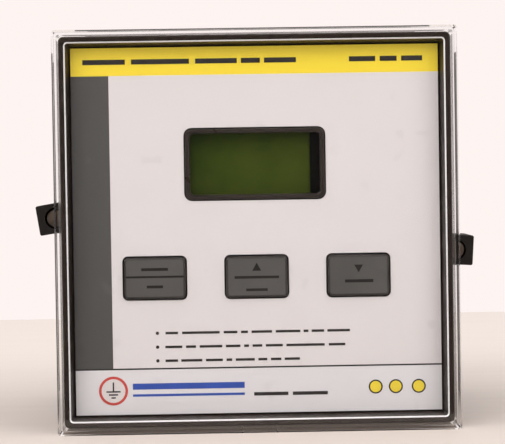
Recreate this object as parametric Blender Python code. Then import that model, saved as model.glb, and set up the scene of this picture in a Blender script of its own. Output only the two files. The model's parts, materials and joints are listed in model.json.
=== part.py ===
"""Flush-mounting protection relay, 96 mm square, with a clear push-on cover.

The relay is modelled in its own case frame: X to the right, Y backwards into the switchboard, Z up.
Y = 0 is the panel plane, where the back of the bezel lies on the sheet, and X = Z = 0 is the centre of
the bezel. Everything hangs on one empty, which stands the finished relay on the origin.
"""

import math
from collections import namedtuple

import bmesh
import bpy
from mathutils import Vector

# Gap that two pieces keep where they touch.
FIT = 0.0003

# Bezel: the square black moulding in front of the panel.
BEZEL_SIZE = 0.096
BEZEL_DEPTH = 0.008
BEZEL_CORNER = 0.0012
BEZEL_EDGE = 0.0003
RIM_WIDTH = 0.0013
RIM_CHAMFER = 0.00035
RECESS_DEPTH = 0.0045
RECESS_LEAN = 0.0007
RECESS_CORNER = 0.0006
PLATE_THICK = 0.002
LABEL_THICK = 0.0004

# Skirt and snap hooks that hold the bezel in the case.
SKIRT_DEPTH = 0.0035
SKIRT_WALL = 0.0014
HOOK_WIDTH = 0.008
HOOK_SPREAD = 0.022
HOOK_REACH = 0.0115
HOOK_CATCH = 0.0012
HOOK_CATCH_LENGTH = 0.003
HOOK_CREST = 0.001
HOOK_TIP_CHAMFER = 0.0004

# Clear cover.
COVER_WALL = 0.0011
COVER_FRONT = 0.0015
COVER_STANDOFF = 0.0025
COVER_CORNER = 0.0004
COVER_EDGE = 0.0004
COVER_BACK_GAP = 0.0008
TONGUE_WIDTH = 0.008
TONGUE_LENGTH = 0.0075
TONGUE_SLIT = 0.0005
TONGUE_RIDGE = 0.00015
TONGUE_RIDGE_PLACE = 0.0019

# Printed fields of the label.
BAND_HEIGHT = 0.0069
STRIP_WIDTH = 0.0093
LINE_HEIGHT = 0.0004
FOOT_HEIGHT = 0.0111

# Display opening and its frame.
DISPLAY_WIDTH = 0.0345
DISPLAY_HEIGHT = 0.0175
DISPLAY_CORNER = 0.0016
DISPLAY_INNER_CORNER = 0.001
DISPLAY_BORDER = 0.0012
DISPLAY_EDGE = 0.00025
DISPLAY_PROUD = 0.0005
DISPLAY_X = -0.00025
DISPLAY_Z = 0.01635

# Liquid crystal display behind the opening.
LCD_WIDTH = 0.0395
LCD_HEIGHT = 0.0235
LCD_STEEL = 0.0005
LCD_VIEW_WIDTH = 0.0305
LCD_VIEW_HEIGHT = 0.0161
LCD_SHIFT = -0.0015
LCD_GLASS_THICK = 0.0022

# Keys.
KEY_WIDTH = 0.0152
KEY_HEIGHT = 0.0102
KEY_CORNER = 0.0010
KEY_EDGE = 0.00035
KEY_GAP = 0.0004
KEY_PROUD = 0.0009
KEY_LIP = 0.0012
KEY_LIP_THICK = 0.0012
KEY_STEM_RADIUS = 0.002
KEY_TRAVEL = 0.0006
KEY_ROW_MARGIN = 0.00755
KEY_ROW_X = -0.0002
KEY_ROW_Z = -0.0116

# Push-button switches on the front board.
SWITCH_SIZE = 0.0062
SWITCH_HEIGHT = 0.0033
PLUNGER_RADIUS = 0.00175
PLUNGER_PROUD = 0.001
PLUNGER_DEPTH = 0.0015

# Front board behind the bezel plate.
FRONT_BOARD_Y = 0.0065
BOARD_THICK = 0.0016
BOARD_SIDE_ROOM = 0.004
BOARD_END_ROOM = 0.002
PILLAR_RADIUS = 0.003
PILLAR_END_INSET = 0.004
FRONT_PILLAR_INSET = 0.0045
STAKE_RADIUS = 0.0012
STAKE_HEAD_RADIUS = 0.0022
STAKE_HEAD_HEIGHT = 0.001

# Small screws; the crown is the top of a head as a share of its radius.
HEAD_CROWN = 0.8
SMALL_SHANK_RADIUS = 0.0012
SMALL_HEAD_RADIUS = 0.0024
SMALL_HEAD_HEIGHT = 0.0016
SMALL_SCREW_GRIP = 0.004
SLOT_WIDTH = 0.0007
SLOT_DEPTH = 0.0008

# Case that passes through the panel cut-out; the flange laps over the panel on each side.
FLANGE_WIDTH = 0.002
CUTOUT_PLAY = 0.001
CASE_WALL = 0.002
CASE_SEAT = 0.0005
CASE_DEPTH = 0.0835
CASE_CORNER = 0.002
CASE_INNER_CORNER = 0.001
VENT_COUNT = 9
VENT_PITCH = 0.006
VENT_WIDTH = 0.0022
VENT_LENGTH = 0.018
VENT_Y = 0.046
BOSS_RADIUS = 0.0035
BOSS_TIP_RADIUS = 0.00175

# Undercut channels in the sides of the case, and the clamps that slide in them.
LEFT_CHANNEL_Z = 0.0045
RIGHT_CHANNEL_Z = -0.0059
CHANNEL_LIP = 0.00115
CHANNEL_DEPTH = 0.0027
CHANNEL_HEIGHT = 0.0058
CHANNEL_MOUTH = 0.0034
CHANNEL_WALL = 0.0015
CHANNEL_START = 0.006
CLAMP_START = 0.012
CLAMP_LENGTH = 0.018
CLAMP_WIDTH = 0.0089
CLAMP_HEIGHT = 0.0076
CLAMP_CHAMFER = 0.0003
CLAMP_STAND = 0.0012
CLAMP_NECK = 0.002
CLAMP_FOOT_THICK = 0.0013
CLAMP_FOOT_HEIGHT = 0.005
LEFT_DROOP = 9.0
RIGHT_DROOP = 3.5

# Jack screws through the clamps.
JACK_STAND = 0.0043
JACK_RADIUS = 0.0024
JACK_LENGTH = 0.042
JACK_TIP_PROUD = 0.0005
JACK_TIP_CHAMFER = 0.0005
JACK_HEAD_RADIUS = 0.0042
JACK_HEAD_HEIGHT = 0.0034
JACK_SLOT_WIDTH = 0.0011
JACK_SLOT_DEPTH = 0.0014

# Rear cover.
REAR_THICK = 0.0025
REAR_EDGE = 0.0003
REAR_LIP_DEPTH = 0.003
REAR_LIP_WALL = 0.0015
REAR_SCREW_SHANK_RADIUS = 0.00145
REAR_SCREW_HEAD_RADIUS = 0.0028
REAR_SCREW_HEAD_HEIGHT = 0.002
REAR_SCREW_BLIND = 0.004
REAR_VENT_COUNT = 7
REAR_VENT_PITCH = 0.006
REAR_VENT_WIDTH = 0.002
REAR_VENT_LENGTH = 0.014

# Barrier terminal strips on the rear cover.
POLE_COUNT = 6
POLE_PITCH = 0.0095
BARRIER_WALL = 0.0015
STRIP_EDGE_ROOM = 0.0165
STRIP_HEIGHT = 0.015
STRIP_DEPTH = 0.011
STRIP_BASE = 0.003
STRIP_CORNER = 0.0003
PLATE_WIDTH = 0.0072
PLATE_HEIGHT = 0.0095
PLATE_SHEET = 0.0008
TAIL_WIDTH = 0.0012
TAIL_SHEET = 0.0008
TAIL_BEYOND = 0.0014
TERMINAL_SHANK_RADIUS = 0.0014
TERMINAL_HEAD_RADIUS = 0.003
TERMINAL_HEAD_HEIGHT = 0.0022
TERMINAL_HEAD_SINK = 0.00025
TERMINAL_SCREW_RISE = 0.0012

# Power board in front of the rear cover, and what stands on it.
POWER_BOARD_BACK = 0.0157
REAR_PILLAR_INSET = 0.0065
CORE_WIDTH = 0.030
CORE_HEIGHT = 0.025
CORE_STACK = 0.012
CORE_LEG = 0.010
CORE_WINDOW = 0.005
CORE_YOKE = 0.005
BOBBIN_WALL = 0.0012
BOBBIN_BULGE = 0.005
WINDING_SHY = 0.0006
WINDING_CORNER = 0.0012
TRANSFORMER_INSET = 0.0015
OUTPUT_RELAY_WIDTH = 0.0155
OUTPUT_RELAY_LENGTH = 0.019
OUTPUT_RELAY_HEIGHT = 0.0155
OUTPUT_RELAY_EDGE = 0.0008
OUTPUT_RELAY_INSET = 0.001
ALARM_RELAY_X = 0.012
CAPACITOR_RADIUS = 0.0065
CAPACITOR_LENGTH = 0.025
CAPACITOR_EDGE = 0.0007
CAPACITOR_GROOVE = 0.0031
CAPACITOR_ROOM = 0.0015
PLUG_X = 0.012
PLUG_INSET = 0.005
PLUG_WIDTH = 0.0088
PLUG_LENGTH = 0.0195
PLUG_HEIGHT = 0.009
RIBBON_WIDTH = 0.018
RIBBON_THICK = 0.0009
RIBBON_SWAY = 0.0035

# Microcontroller on the back of the front board.
CHIP_LENGTH = 0.0256
CHIP_WIDTH = 0.0072
CHIP_HEIGHT = 0.0036
CHIP_STAND = 0.0006
CHIP_DRAFT = 0.0003
CHIP_LEGS = 10
CHIP_PITCH = 0.00254
CHIP_LEG_WIDTH = 0.0006
CHIP_LEG_SHEET = 0.0003
CHIP_LEG_REACH = 0.0009
CHIP_X = -0.006
CHIP_Z = 0.010

# Facets of round shapes. A round end has its corner radius as this share of its half width.
CORNER_STEPS = 4
VENT_STEPS = 2
FINE_STEPS = 18
SMALL_STEPS = 12
ROUND_SHARE = 0.98
SHARP_ANGLE = 30.0

# Places that follow from the sizes.
KEY_NAMES = ("left", "middle", "right")
BEZEL_HALF = BEZEL_SIZE / 2
CUTOUT_SIZE = BEZEL_SIZE - 2 * FLANGE_WIDTH
RIM_Y = -BEZEL_DEPTH
LABEL_Y = RIM_Y + RECESS_DEPTH
PLATE_Y = LABEL_Y + LABEL_THICK + FIT
PLATE_BACK_Y = PLATE_Y + PLATE_THICK
RECESS_TOP_HALF = BEZEL_HALF - RIM_WIDTH - RIM_CHAMFER
RECESS_FLOOR_HALF = RECESS_TOP_HALF - RECESS_LEAN
LABEL_HALF = RECESS_FLOOR_HALF - FIT
KEY_PITCH = 2 * (LABEL_HALF - KEY_ROW_MARGIN) / len(KEY_NAMES)
COVER_INNER_HALF = BEZEL_HALF + FIT
COVER_HALF = COVER_INNER_HALF + COVER_WALL
COVER_INNER_Y = RIM_Y - COVER_STANDOFF
CASE_HALF = (CUTOUT_SIZE - CUTOUT_PLAY) / 2
CASE_INNER_HALF = CASE_HALF - CASE_WALL
CASE_Y = FIT - CASE_SEAT
CASE_BACK_Y = CASE_Y + CASE_DEPTH
SKIRT_HALF = CASE_INNER_HALF - FIT
BOARD_HALF_X = CASE_INNER_HALF - BOARD_SIDE_ROOM
BOARD_HALF_Z = CASE_INNER_HALF - BOARD_END_ROOM
FRONT_PILLAR_X = BOARD_HALF_X - FRONT_PILLAR_INSET
REAR_PILLAR_X = BOARD_HALF_X - REAR_PILLAR_INSET
PILLAR_Z = BOARD_HALF_Z - PILLAR_END_INSET
FRONT_BOARD_BACK_Y = FRONT_BOARD_Y + BOARD_THICK
SWITCH_Y = FRONT_BOARD_Y - FIT - SWITCH_HEIGHT
LCD_Y = PLATE_BACK_Y + FIT
LCD_BACK_Y = FRONT_BOARD_Y - FIT
CHANNEL_X = CASE_HALF - CHANNEL_LIP - CHANNEL_DEPTH / 2
CHANNEL_INNER_X = CHANNEL_X - CHANNEL_DEPTH / 2 - CHANNEL_WALL
CLAMP_BLOCK_X = CASE_HALF + CLAMP_STAND - CHANNEL_X
JACK_X = CLAMP_BLOCK_X + JACK_STAND
REAR_Y = CASE_BACK_Y + FIT
REAR_BACK_Y = REAR_Y + REAR_THICK
REAR_SCREW_PLACE = CASE_INNER_HALF - BOSS_RADIUS + FIT * 2
REAR_LIP_Y = REAR_Y - REAR_LIP_DEPTH
BOSS_BACK_Y = REAR_LIP_Y - FIT
POWER_BOARD_BACK_Y = REAR_Y - POWER_BOARD_BACK
POWER_BOARD_Y = POWER_BOARD_BACK_Y - BOARD_THICK
BOSS_FRONT_Y = POWER_BOARD_BACK_Y + FIT
REAR_SCREW_END_Y = BOSS_FRONT_Y + REAR_SCREW_BLIND
PARTS_Y = POWER_BOARD_Y - FIT
TRANSFORMER_X = TRANSFORMER_INSET + CORE_WIDTH / 2 - BOARD_HALF_X
CAPACITOR_X = TRANSFORMER_X + CORE_WIDTH / 2 + CAPACITOR_ROOM + CAPACITOR_RADIUS
TRIP_RELAY_X = BOARD_HALF_X - OUTPUT_RELAY_INSET - OUTPUT_RELAY_WIDTH / 2
ALARM_RELAY_Z = BOARD_HALF_Z - OUTPUT_RELAY_INSET - OUTPUT_RELAY_WIDTH / 2
PLUG_Z = PLUG_INSET + PLUG_WIDTH / 2 - BOARD_HALF_Z
STRIP_Z = CASE_HALF - STRIP_EDGE_ROOM
STRIP_Y = REAR_BACK_Y + FIT
STRIP_BACK_Y = STRIP_Y + STRIP_DEPTH
STRIP_HALF = (POLE_COUNT * POLE_PITCH + BARRIER_WALL) / 2
POCKET_Y = STRIP_Y + STRIP_BASE
TERMINAL_PLATE_Y = POCKET_Y + FIT
POCKET_LOW_Z = BARRIER_WALL - STRIP_HEIGHT / 2
TERMINAL_PLATE_Z = POCKET_LOW_Z + FIT + PLATE_HEIGHT / 2
TAIL_Z = POCKET_LOW_Z + FIT + TAIL_SHEET
TERMINAL_SCREW_Z = TERMINAL_PLATE_Z + TERMINAL_SCREW_RISE

Ring = namedtuple("Ring", "half_a half_b radius place centre_a centre_b", defaults=(0.0, 0.0))


def in_space(axis, a, b, along):
    """Point with (a, b) across an axis and a place along it."""
    if axis == "x":
        return Vector((along, a, b))
    if axis == "y":
        return Vector((a, along, b))
    return Vector((a, b, along))


def rounded_rectangle(ring, corner_steps):
    """Points of a rectangle with round corners, in order round its centre; no steps leave it square."""
    points = []
    corners = ((1, 1), (-1, 1), (-1, -1), (1, -1))
    for quarter, (side_a, side_b) in enumerate(corners):
        if corner_steps == 0:
            points.append((ring.centre_a + side_a * ring.half_a, ring.centre_b + side_b * ring.half_b))
            continue
        middle_a = ring.centre_a + side_a * (ring.half_a - ring.radius)
        middle_b = ring.centre_b + side_b * (ring.half_b - ring.radius)
        for step in range(corner_steps + 1):
            angle = math.radians(90) * (quarter + step / corner_steps)
            points.append((middle_a + ring.radius * math.cos(angle),
                           middle_b + ring.radius * math.sin(angle)))
    return points


def circle(radius, steps):
    """Points round a circle."""
    return [(radius * math.cos(math.tau * step / steps), radius * math.sin(math.tau * step / steps))
            for step in range(steps)]


def bridge(mesh, loops, closed):
    """Skin over loops of equal length; the ends are capped, or joined to each other."""
    count = len(loops)
    for index in range(count if closed else count - 1):
        first = loops[index]
        second = loops[(index + 1) % count]
        for side in range(len(first)):
            after = (side + 1) % len(first)
            mesh.faces.new((first[side], first[after], second[after], second[side]))
    if not closed:
        mesh.faces.new(loops[0])
        mesh.faces.new(loops[-1])


def add_loft(mesh, rings, axis="y", closed=False, corner_steps=CORNER_STEPS):
    """Loft through rounded rectangles; corners as small as the fit gap are left square."""
    if max(ring.radius for ring in rings) <= FIT:
        corner_steps = 0
    loops = []
    for ring in rings:
        loops.append([mesh.verts.new(in_space(axis, a, b, ring.place))
                      for a, b in rounded_rectangle(ring, corner_steps)])
    bridge(mesh, loops, closed)


def add_turned(mesh, profile, shift=(0, 0, 0), steps=SMALL_STEPS):
    """Solid turned about the Y axis from a profile of (radius, y) points."""
    loops = []
    for radius, place in profile:
        loops.append([mesh.verts.new(Vector((a, place, b)) + Vector(shift))
                      for a, b in circle(radius, steps)])
    bridge(mesh, loops, False)


def add_prism(mesh, outline, axis, low, high, shift=(0, 0, 0)):
    """Outline pushed along an axis."""
    loops = []
    for along in (low, high):
        loops.append([mesh.verts.new(in_space(axis, a, b, along) + Vector(shift)) for a, b in outline])
    bridge(mesh, loops, False)


def add_box(mesh, low, high):
    """Plain block between two corners."""
    outline = ((low[0], low[2]), (high[0], low[2]), (high[0], high[2]), (low[0], high[2]))
    add_prism(mesh, outline, "y", low[1], high[1])


def finish(name, mesh, parent, material=None, at=(0, 0, 0)):
    """Closed object from a bmesh, with its faces pointing out."""
    bmesh.ops.recalc_face_normals(mesh, faces=mesh.faces)
    data = bpy.data.meshes.new(name)
    mesh.to_mesh(data)
    mesh.free()
    body = bpy.data.objects.new(name, data)
    bpy.context.scene.collection.objects.link(body)
    body.parent = parent
    body.location = at
    if material:
        data.materials.append(material)
    data.shade_smooth()
    data.set_sharp_from_angle(angle=math.radians(SHARP_ANGLE))
    return body


def tool(name, mesh, parent, at=(0, 0, 0)):
    """Hidden shape that cuts or joins another."""
    body = finish(name, mesh, parent, at=at)
    body.hide_render = True
    body.display_type = "WIRE"
    return body


def combine(body, other, operation):
    """Boolean of two objects."""
    modifier = body.modifiers.new(other.name, "BOOLEAN")
    modifier.operation = operation
    modifier.solver = "EXACT"
    modifier.object = other


def cut(body, other):
    """Takes the hidden shape out of the body."""
    combine(body, other, "DIFFERENCE")


def weld(body, other):
    """Joins the hidden shape to the body."""
    combine(body, other, "UNION")


def to_linear(channel):
    """One sRGB channel, 0 to 255, as linear light."""
    value = channel / 255
    return value / 12.92 if value <= 0.04045 else ((value + 0.055) / 1.055) ** 2.4


def make_material(name, colour, roughness, metallic=0.0, alpha=1.0, transmission=0.0):
    """Principled material from an sRGB hex colour."""
    material = bpy.data.materials.new(name)
    material.use_nodes = True
    shader = material.node_tree.nodes["Principled BSDF"]
    red, green, blue = (to_linear(int(colour[place:place + 2], 16)) for place in (1, 3, 5))
    shader.inputs["Base Color"].default_value = (red, green, blue, 1)
    shader.inputs["Roughness"].default_value = roughness
    shader.inputs["Metallic"].default_value = metallic
    shader.inputs["Alpha"].default_value = alpha
    shader.inputs["Transmission Weight"].default_value = transmission
    material.diffuse_color = (red, green, blue, alpha)
    return material


def key_place(index):
    """Centre of a key, across and up."""
    return KEY_ROW_X + (index - 1) * KEY_PITCH, KEY_ROW_Z


def corner_places(across, up):
    """Four places, one in each corner."""
    return [(side * across, level * up) for side in (-1, 1) for level in (-1, 1)]


def key_opening(mesh, index, low, high):
    """Prism of one key opening."""
    across, up = key_place(index)
    add_loft(mesh, [Ring(KEY_WIDTH / 2 + KEY_GAP, KEY_HEIGHT / 2 + KEY_GAP, KEY_CORNER + KEY_GAP, place,
                         across, up) for place in (low, high)])


def face_openings(name, root, low, high):
    """Hidden shape of the display opening and the three key openings."""
    mesh = bmesh.new()
    add_loft(mesh, [Ring(DISPLAY_WIDTH / 2 + FIT, DISPLAY_HEIGHT / 2 + FIT, DISPLAY_CORNER + FIT, place,
                         DISPLAY_X, DISPLAY_Z) for place in (low, high)])
    for index in range(len(KEY_NAMES)):
        key_opening(mesh, index, low, high)
    return tool(name, mesh, root)


def front_frame(root, black):
    """Bezel moulding: rim, leaning recess walls, plate, seat of the case, skirt, pillars and hooks."""
    mesh = bmesh.new()
    rim_half = BEZEL_HALF - RIM_WIDTH
    seat_half = CASE_HALF + FIT
    skirt_inner = SKIRT_HALF - SKIRT_WALL
    skirt_corner = max(CASE_INNER_CORNER - FIT, FIT)
    add_loft(mesh, [
        Ring(RECESS_FLOOR_HALF, RECESS_FLOOR_HALF, RECESS_CORNER, PLATE_Y),
        Ring(RECESS_TOP_HALF, RECESS_TOP_HALF, RECESS_CORNER, RIM_Y + RIM_CHAMFER),
        Ring(rim_half, rim_half, RECESS_CORNER + RIM_CHAMFER, RIM_Y),
        Ring(BEZEL_HALF - BEZEL_EDGE, BEZEL_HALF - BEZEL_EDGE, BEZEL_CORNER - BEZEL_EDGE, RIM_Y),
        Ring(BEZEL_HALF, BEZEL_HALF, BEZEL_CORNER, RIM_Y + BEZEL_EDGE),
        Ring(BEZEL_HALF, BEZEL_HALF, BEZEL_CORNER, 0),
        Ring(seat_half, seat_half, CASE_CORNER + FIT, 0),
        Ring(seat_half, seat_half, CASE_CORNER + FIT, -CASE_SEAT),
        Ring(SKIRT_HALF, SKIRT_HALF, skirt_corner, -CASE_SEAT),
        Ring(SKIRT_HALF, SKIRT_HALF, skirt_corner, SKIRT_DEPTH),
        Ring(skirt_inner, skirt_inner, skirt_corner, SKIRT_DEPTH),
        Ring(skirt_inner, skirt_inner, skirt_corner, PLATE_BACK_Y),
    ])
    body = finish("front_frame", mesh, root, black)

    mesh = bmesh.new()
    stake_y = FRONT_BOARD_BACK_Y + FIT
    for across, up in corner_places(FRONT_PILLAR_X, PILLAR_Z):
        add_turned(mesh, ((PILLAR_RADIUS, PLATE_BACK_Y - PLATE_THICK / 2),
                          (PILLAR_RADIUS, FRONT_BOARD_Y - FIT), (STAKE_RADIUS, FRONT_BOARD_Y - FIT),
                          (STAKE_RADIUS, stake_y), (STAKE_HEAD_RADIUS, stake_y),
                          (STAKE_HEAD_RADIUS, stake_y + STAKE_HEAD_HEIGHT / 2),
                          (STAKE_RADIUS, stake_y + STAKE_HEAD_HEIGHT)), (across, 0, up))
    weld(body, tool("staked_pillars", mesh, root))

    mesh = bmesh.new()
    for side in (-1, 1):
        for level in (-1, 1):
            hook_outline(mesh, side, level)
    weld(body, tool("snap_hooks", mesh, root))

    cut(body, face_openings("plate_openings", root, PLATE_Y - FIT, PLATE_BACK_Y + FIT))

    mesh = bmesh.new()
    groove = TONGUE_WIDTH / 2 + TONGUE_SLIT
    tongue_y = -COVER_BACK_GAP - TONGUE_RIDGE_PLACE
    add_box(mesh, (-groove, tongue_y - TONGUE_SLIT, -BEZEL_HALF - FIT),
            (groove, tongue_y + TONGUE_SLIT, -BEZEL_HALF + TONGUE_RIDGE * 2))
    cut(body, tool("tongue_groove", mesh, root))
    return body


def hook_outline(mesh, side, level):
    """One snap hook of the skirt, with its catch on the outside."""
    outer = SKIRT_HALF
    inner = SKIRT_HALF - SKIRT_WALL
    tip = outer + HOOK_CATCH
    catch = HOOK_REACH - HOOK_CATCH_LENGTH
    outline = [(SKIRT_DEPTH - SKIRT_WALL, inner), (HOOK_REACH, inner), (HOOK_REACH, outer - HOOK_TIP_CHAMFER),
               (catch + HOOK_CREST, tip), (catch, tip), (catch, outer), (SKIRT_DEPTH - SKIRT_WALL, outer)]
    add_prism(mesh, [(place, level * up) for place, up in outline], "x",
              side * HOOK_SPREAD - HOOK_WIDTH / 2, side * HOOK_SPREAD + HOOK_WIDTH / 2)


def transparent_cover(root, clear):
    """Five-sided clear cover with a snap tongue in its lower wall."""
    mesh = bmesh.new()
    corner = COVER_CORNER + COVER_EDGE
    back = -COVER_BACK_GAP
    front = COVER_INNER_Y - COVER_FRONT
    add_loft(mesh, [
        Ring(COVER_INNER_HALF, COVER_INNER_HALF, COVER_CORNER, COVER_INNER_Y),
        Ring(COVER_INNER_HALF, COVER_INNER_HALF, COVER_CORNER, back),
        Ring(COVER_HALF, COVER_HALF, corner, back),
        Ring(COVER_HALF, COVER_HALF, corner, front + COVER_EDGE),
        Ring(COVER_HALF - COVER_EDGE, COVER_HALF - COVER_EDGE, COVER_CORNER, front),
    ])
    body = finish("transparent_cover", mesh, root, clear)

    mesh = bmesh.new()
    for side in (-1, 1):
        middle = side * (TONGUE_WIDTH + TONGUE_SLIT) / 2
        add_box(mesh, (middle - TONGUE_SLIT / 2, back - TONGUE_LENGTH, -COVER_HALF - FIT),
                (middle + TONGUE_SLIT / 2, back + FIT, -COVER_INNER_HALF + FIT))
    cut(body, tool("tongue_slits", mesh, root))

    mesh = bmesh.new()
    ridge_y = back - TONGUE_RIDGE_PLACE
    outline = [(ridge_y - TONGUE_SLIT, -COVER_INNER_HALF - COVER_WALL / 2),
               (ridge_y - TONGUE_SLIT / 2, -COVER_INNER_HALF + TONGUE_RIDGE),
               (ridge_y + TONGUE_SLIT / 2, -COVER_INNER_HALF + TONGUE_RIDGE),
               (ridge_y + TONGUE_SLIT, -COVER_INNER_HALF - COVER_WALL / 2)]
    add_prism(mesh, outline, "x", -TONGUE_WIDTH / 2 + TONGUE_SLIT, TONGUE_WIDTH / 2 - TONGUE_SLIT)
    weld(body, tool("tongue_ridge", mesh, root))
    return body


def front_label(root, white, yellow, grey, black):
    """Printed sheet: yellow band, grey strip, black line, with openings."""
    mesh = bmesh.new()
    add_box(mesh, (-LABEL_HALF, LABEL_Y, -LABEL_HALF), (LABEL_HALF, LABEL_Y + LABEL_THICK, LABEL_HALF))
    band_low = LABEL_HALF - BAND_HEIGHT
    strip_right = STRIP_WIDTH - LABEL_HALF
    line_high = FOOT_HEIGHT + LINE_HEIGHT - LABEL_HALF
    line_low = FOOT_HEIGHT - LABEL_HALF
    across = Vector((1, 0, 0))
    up = Vector((0, 0, 1))
    borders = ((up * band_low, up), (up * line_high, up), (up * line_low, up), (across * strip_right, across))
    for point, normal in borders:
        bmesh.ops.bisect_plane(mesh, geom=mesh.verts[:] + mesh.edges[:] + mesh.faces[:],
                               plane_co=point, plane_no=normal)
    for face in mesh.faces:
        middle = face.calc_center_median()
        if middle.z > band_low:
            face.material_index = 1
        elif line_low < middle.z < line_high:
            face.material_index = 3
        elif middle.z > line_high and middle.x < strip_right:
            face.material_index = 2
    body = finish("front_label", mesh, root, white)
    for printed in (yellow, grey, black):
        body.data.materials.append(printed)
    cut(body, face_openings("label_openings", root, LABEL_Y - FIT, LABEL_Y + LABEL_THICK + FIT))
    return body


def display_frame(root, dark):
    """Rounded frame that lines the display opening."""
    mesh = bmesh.new()
    front = LABEL_Y - DISPLAY_PROUD
    edge = DISPLAY_EDGE
    half_a = DISPLAY_WIDTH / 2
    half_b = DISPLAY_HEIGHT / 2
    inner = DISPLAY_INNER_CORNER

    def ring(shrink, radius, place):
        return Ring(half_a - shrink, half_b - shrink, radius, place)

    add_loft(mesh, [
        ring(0, DISPLAY_CORNER, PLATE_BACK_Y),
        ring(0, DISPLAY_CORNER, front + edge),
        ring(edge, DISPLAY_CORNER - edge, front),
        ring(DISPLAY_BORDER - edge, inner + edge, front),
        ring(DISPLAY_BORDER, inner, front + edge),
        ring(DISPLAY_BORDER, inner, PLATE_BACK_Y),
    ], closed=True)
    return finish("display_frame", mesh, root, dark, (DISPLAY_X, 0, DISPLAY_Z))


def lcd_parts(root, steel, green, white):
    """Steel frame, glass and backlight of the display."""
    half_a = LCD_WIDTH / 2
    half_b = LCD_HEIGHT / 2
    inside_y = LCD_Y + LCD_STEEL
    place = (DISPLAY_X + LCD_SHIFT, 0, DISPLAY_Z)
    view = (LCD_VIEW_WIDTH / 2, LCD_VIEW_HEIGHT / 2, LCD_STEEL)
    mesh = bmesh.new()
    add_loft(mesh, [
        Ring(*view, LCD_Y),
        Ring(half_a, half_b, 2 * LCD_STEEL, LCD_Y),
        Ring(half_a, half_b, 2 * LCD_STEEL, LCD_BACK_Y),
        Ring(half_a - LCD_STEEL, half_b - LCD_STEEL, LCD_STEEL, LCD_BACK_Y),
        Ring(half_a - LCD_STEEL, half_b - LCD_STEEL, LCD_STEEL, inside_y),
        Ring(*view, inside_y),
    ], closed=True)
    finish("lcd_bezel", mesh, root, steel, place)

    inner_a = half_a - LCD_STEEL - FIT
    inner_b = half_b - LCD_STEEL - FIT
    glass_y = inside_y + FIT
    glass_back = glass_y + LCD_GLASS_THICK
    mesh = bmesh.new()
    add_loft(mesh, [Ring(inner_a, inner_b, LCD_STEEL, glass_y),
                    Ring(inner_a, inner_b, LCD_STEEL, glass_back)])
    finish("lcd_glass", mesh, root, green, place)

    mesh = bmesh.new()
    add_loft(mesh, [Ring(inner_a, inner_b, LCD_STEEL, glass_back + FIT),
                    Ring(inner_a, inner_b, LCD_STEEL, LCD_BACK_Y)])
    finish("lcd_backlight", mesh, root, white, place)


def key_parts(root, index, grey, black, white):
    """Keycap with lip and stem, its switch on the front board and the switch's plunger."""
    name = KEY_NAMES[index]
    across, up = key_place(index)
    half_a = KEY_WIDTH / 2
    half_b = KEY_HEIGHT / 2
    top = LABEL_Y - KEY_PROUD
    lip = PLATE_BACK_Y + FIT
    lip_back = lip + KEY_LIP_THICK
    plunger_y = SWITCH_Y - PLUNGER_PROUD
    stem_end = plunger_y - FIT
    mesh = bmesh.new()
    add_loft(mesh, [
        Ring(half_a - KEY_EDGE, half_b - KEY_EDGE, KEY_CORNER - KEY_EDGE, top),
        Ring(half_a, half_b, KEY_CORNER, top + KEY_EDGE),
        Ring(half_a, half_b, KEY_CORNER, lip),
        Ring(half_a + KEY_LIP, half_b + KEY_LIP, KEY_CORNER, lip),
        Ring(half_a + KEY_LIP, half_b + KEY_LIP, KEY_CORNER, lip_back),
        Ring(KEY_STEM_RADIUS, KEY_STEM_RADIUS, KEY_STEM_RADIUS * ROUND_SHARE, lip_back),
        Ring(KEY_STEM_RADIUS, KEY_STEM_RADIUS, KEY_STEM_RADIUS * ROUND_SHARE, stem_end),
    ])
    finish("key_" + name, mesh, root, grey, (across, 0, up))

    half = SWITCH_SIZE / 2
    bore = PLUNGER_RADIUS + FIT
    mesh = bmesh.new()
    add_loft(mesh, [
        Ring(half, half, FIT, SWITCH_Y + SWITCH_HEIGHT),
        Ring(half, half, FIT, SWITCH_Y),
        Ring(bore, bore, bore * ROUND_SHARE, SWITCH_Y),
        Ring(bore, bore, bore * ROUND_SHARE, SWITCH_Y + PLUNGER_DEPTH + KEY_TRAVEL + FIT),
    ])
    finish("tact_switch_" + name, mesh, root, black, (across, 0, up))

    mesh = bmesh.new()
    add_turned(mesh, ((PLUNGER_RADIUS, plunger_y), (PLUNGER_RADIUS, SWITCH_Y + PLUNGER_DEPTH)))
    finish("plunger_" + name, mesh, root, white, (across, 0, up))


def board(name, root, laminate, low_y, hole_places, hole_radius):
    """Circuit board with the holes of its stakes or screws."""
    mesh = bmesh.new()
    add_loft(mesh, [Ring(BOARD_HALF_X, BOARD_HALF_Z, BOARD_THICK, low_y),
                    Ring(BOARD_HALF_X, BOARD_HALF_Z, BOARD_THICK, low_y + BOARD_THICK)])
    body = finish(name, mesh, root, laminate)
    mesh = bmesh.new()
    for across, up in hole_places:
        add_turned(mesh, ((hole_radius, low_y - FIT), (hole_radius, low_y + BOARD_THICK + FIT)),
                   (across, 0, up))
    cut(body, tool(name + "_holes", mesh, root))
    return body


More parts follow.
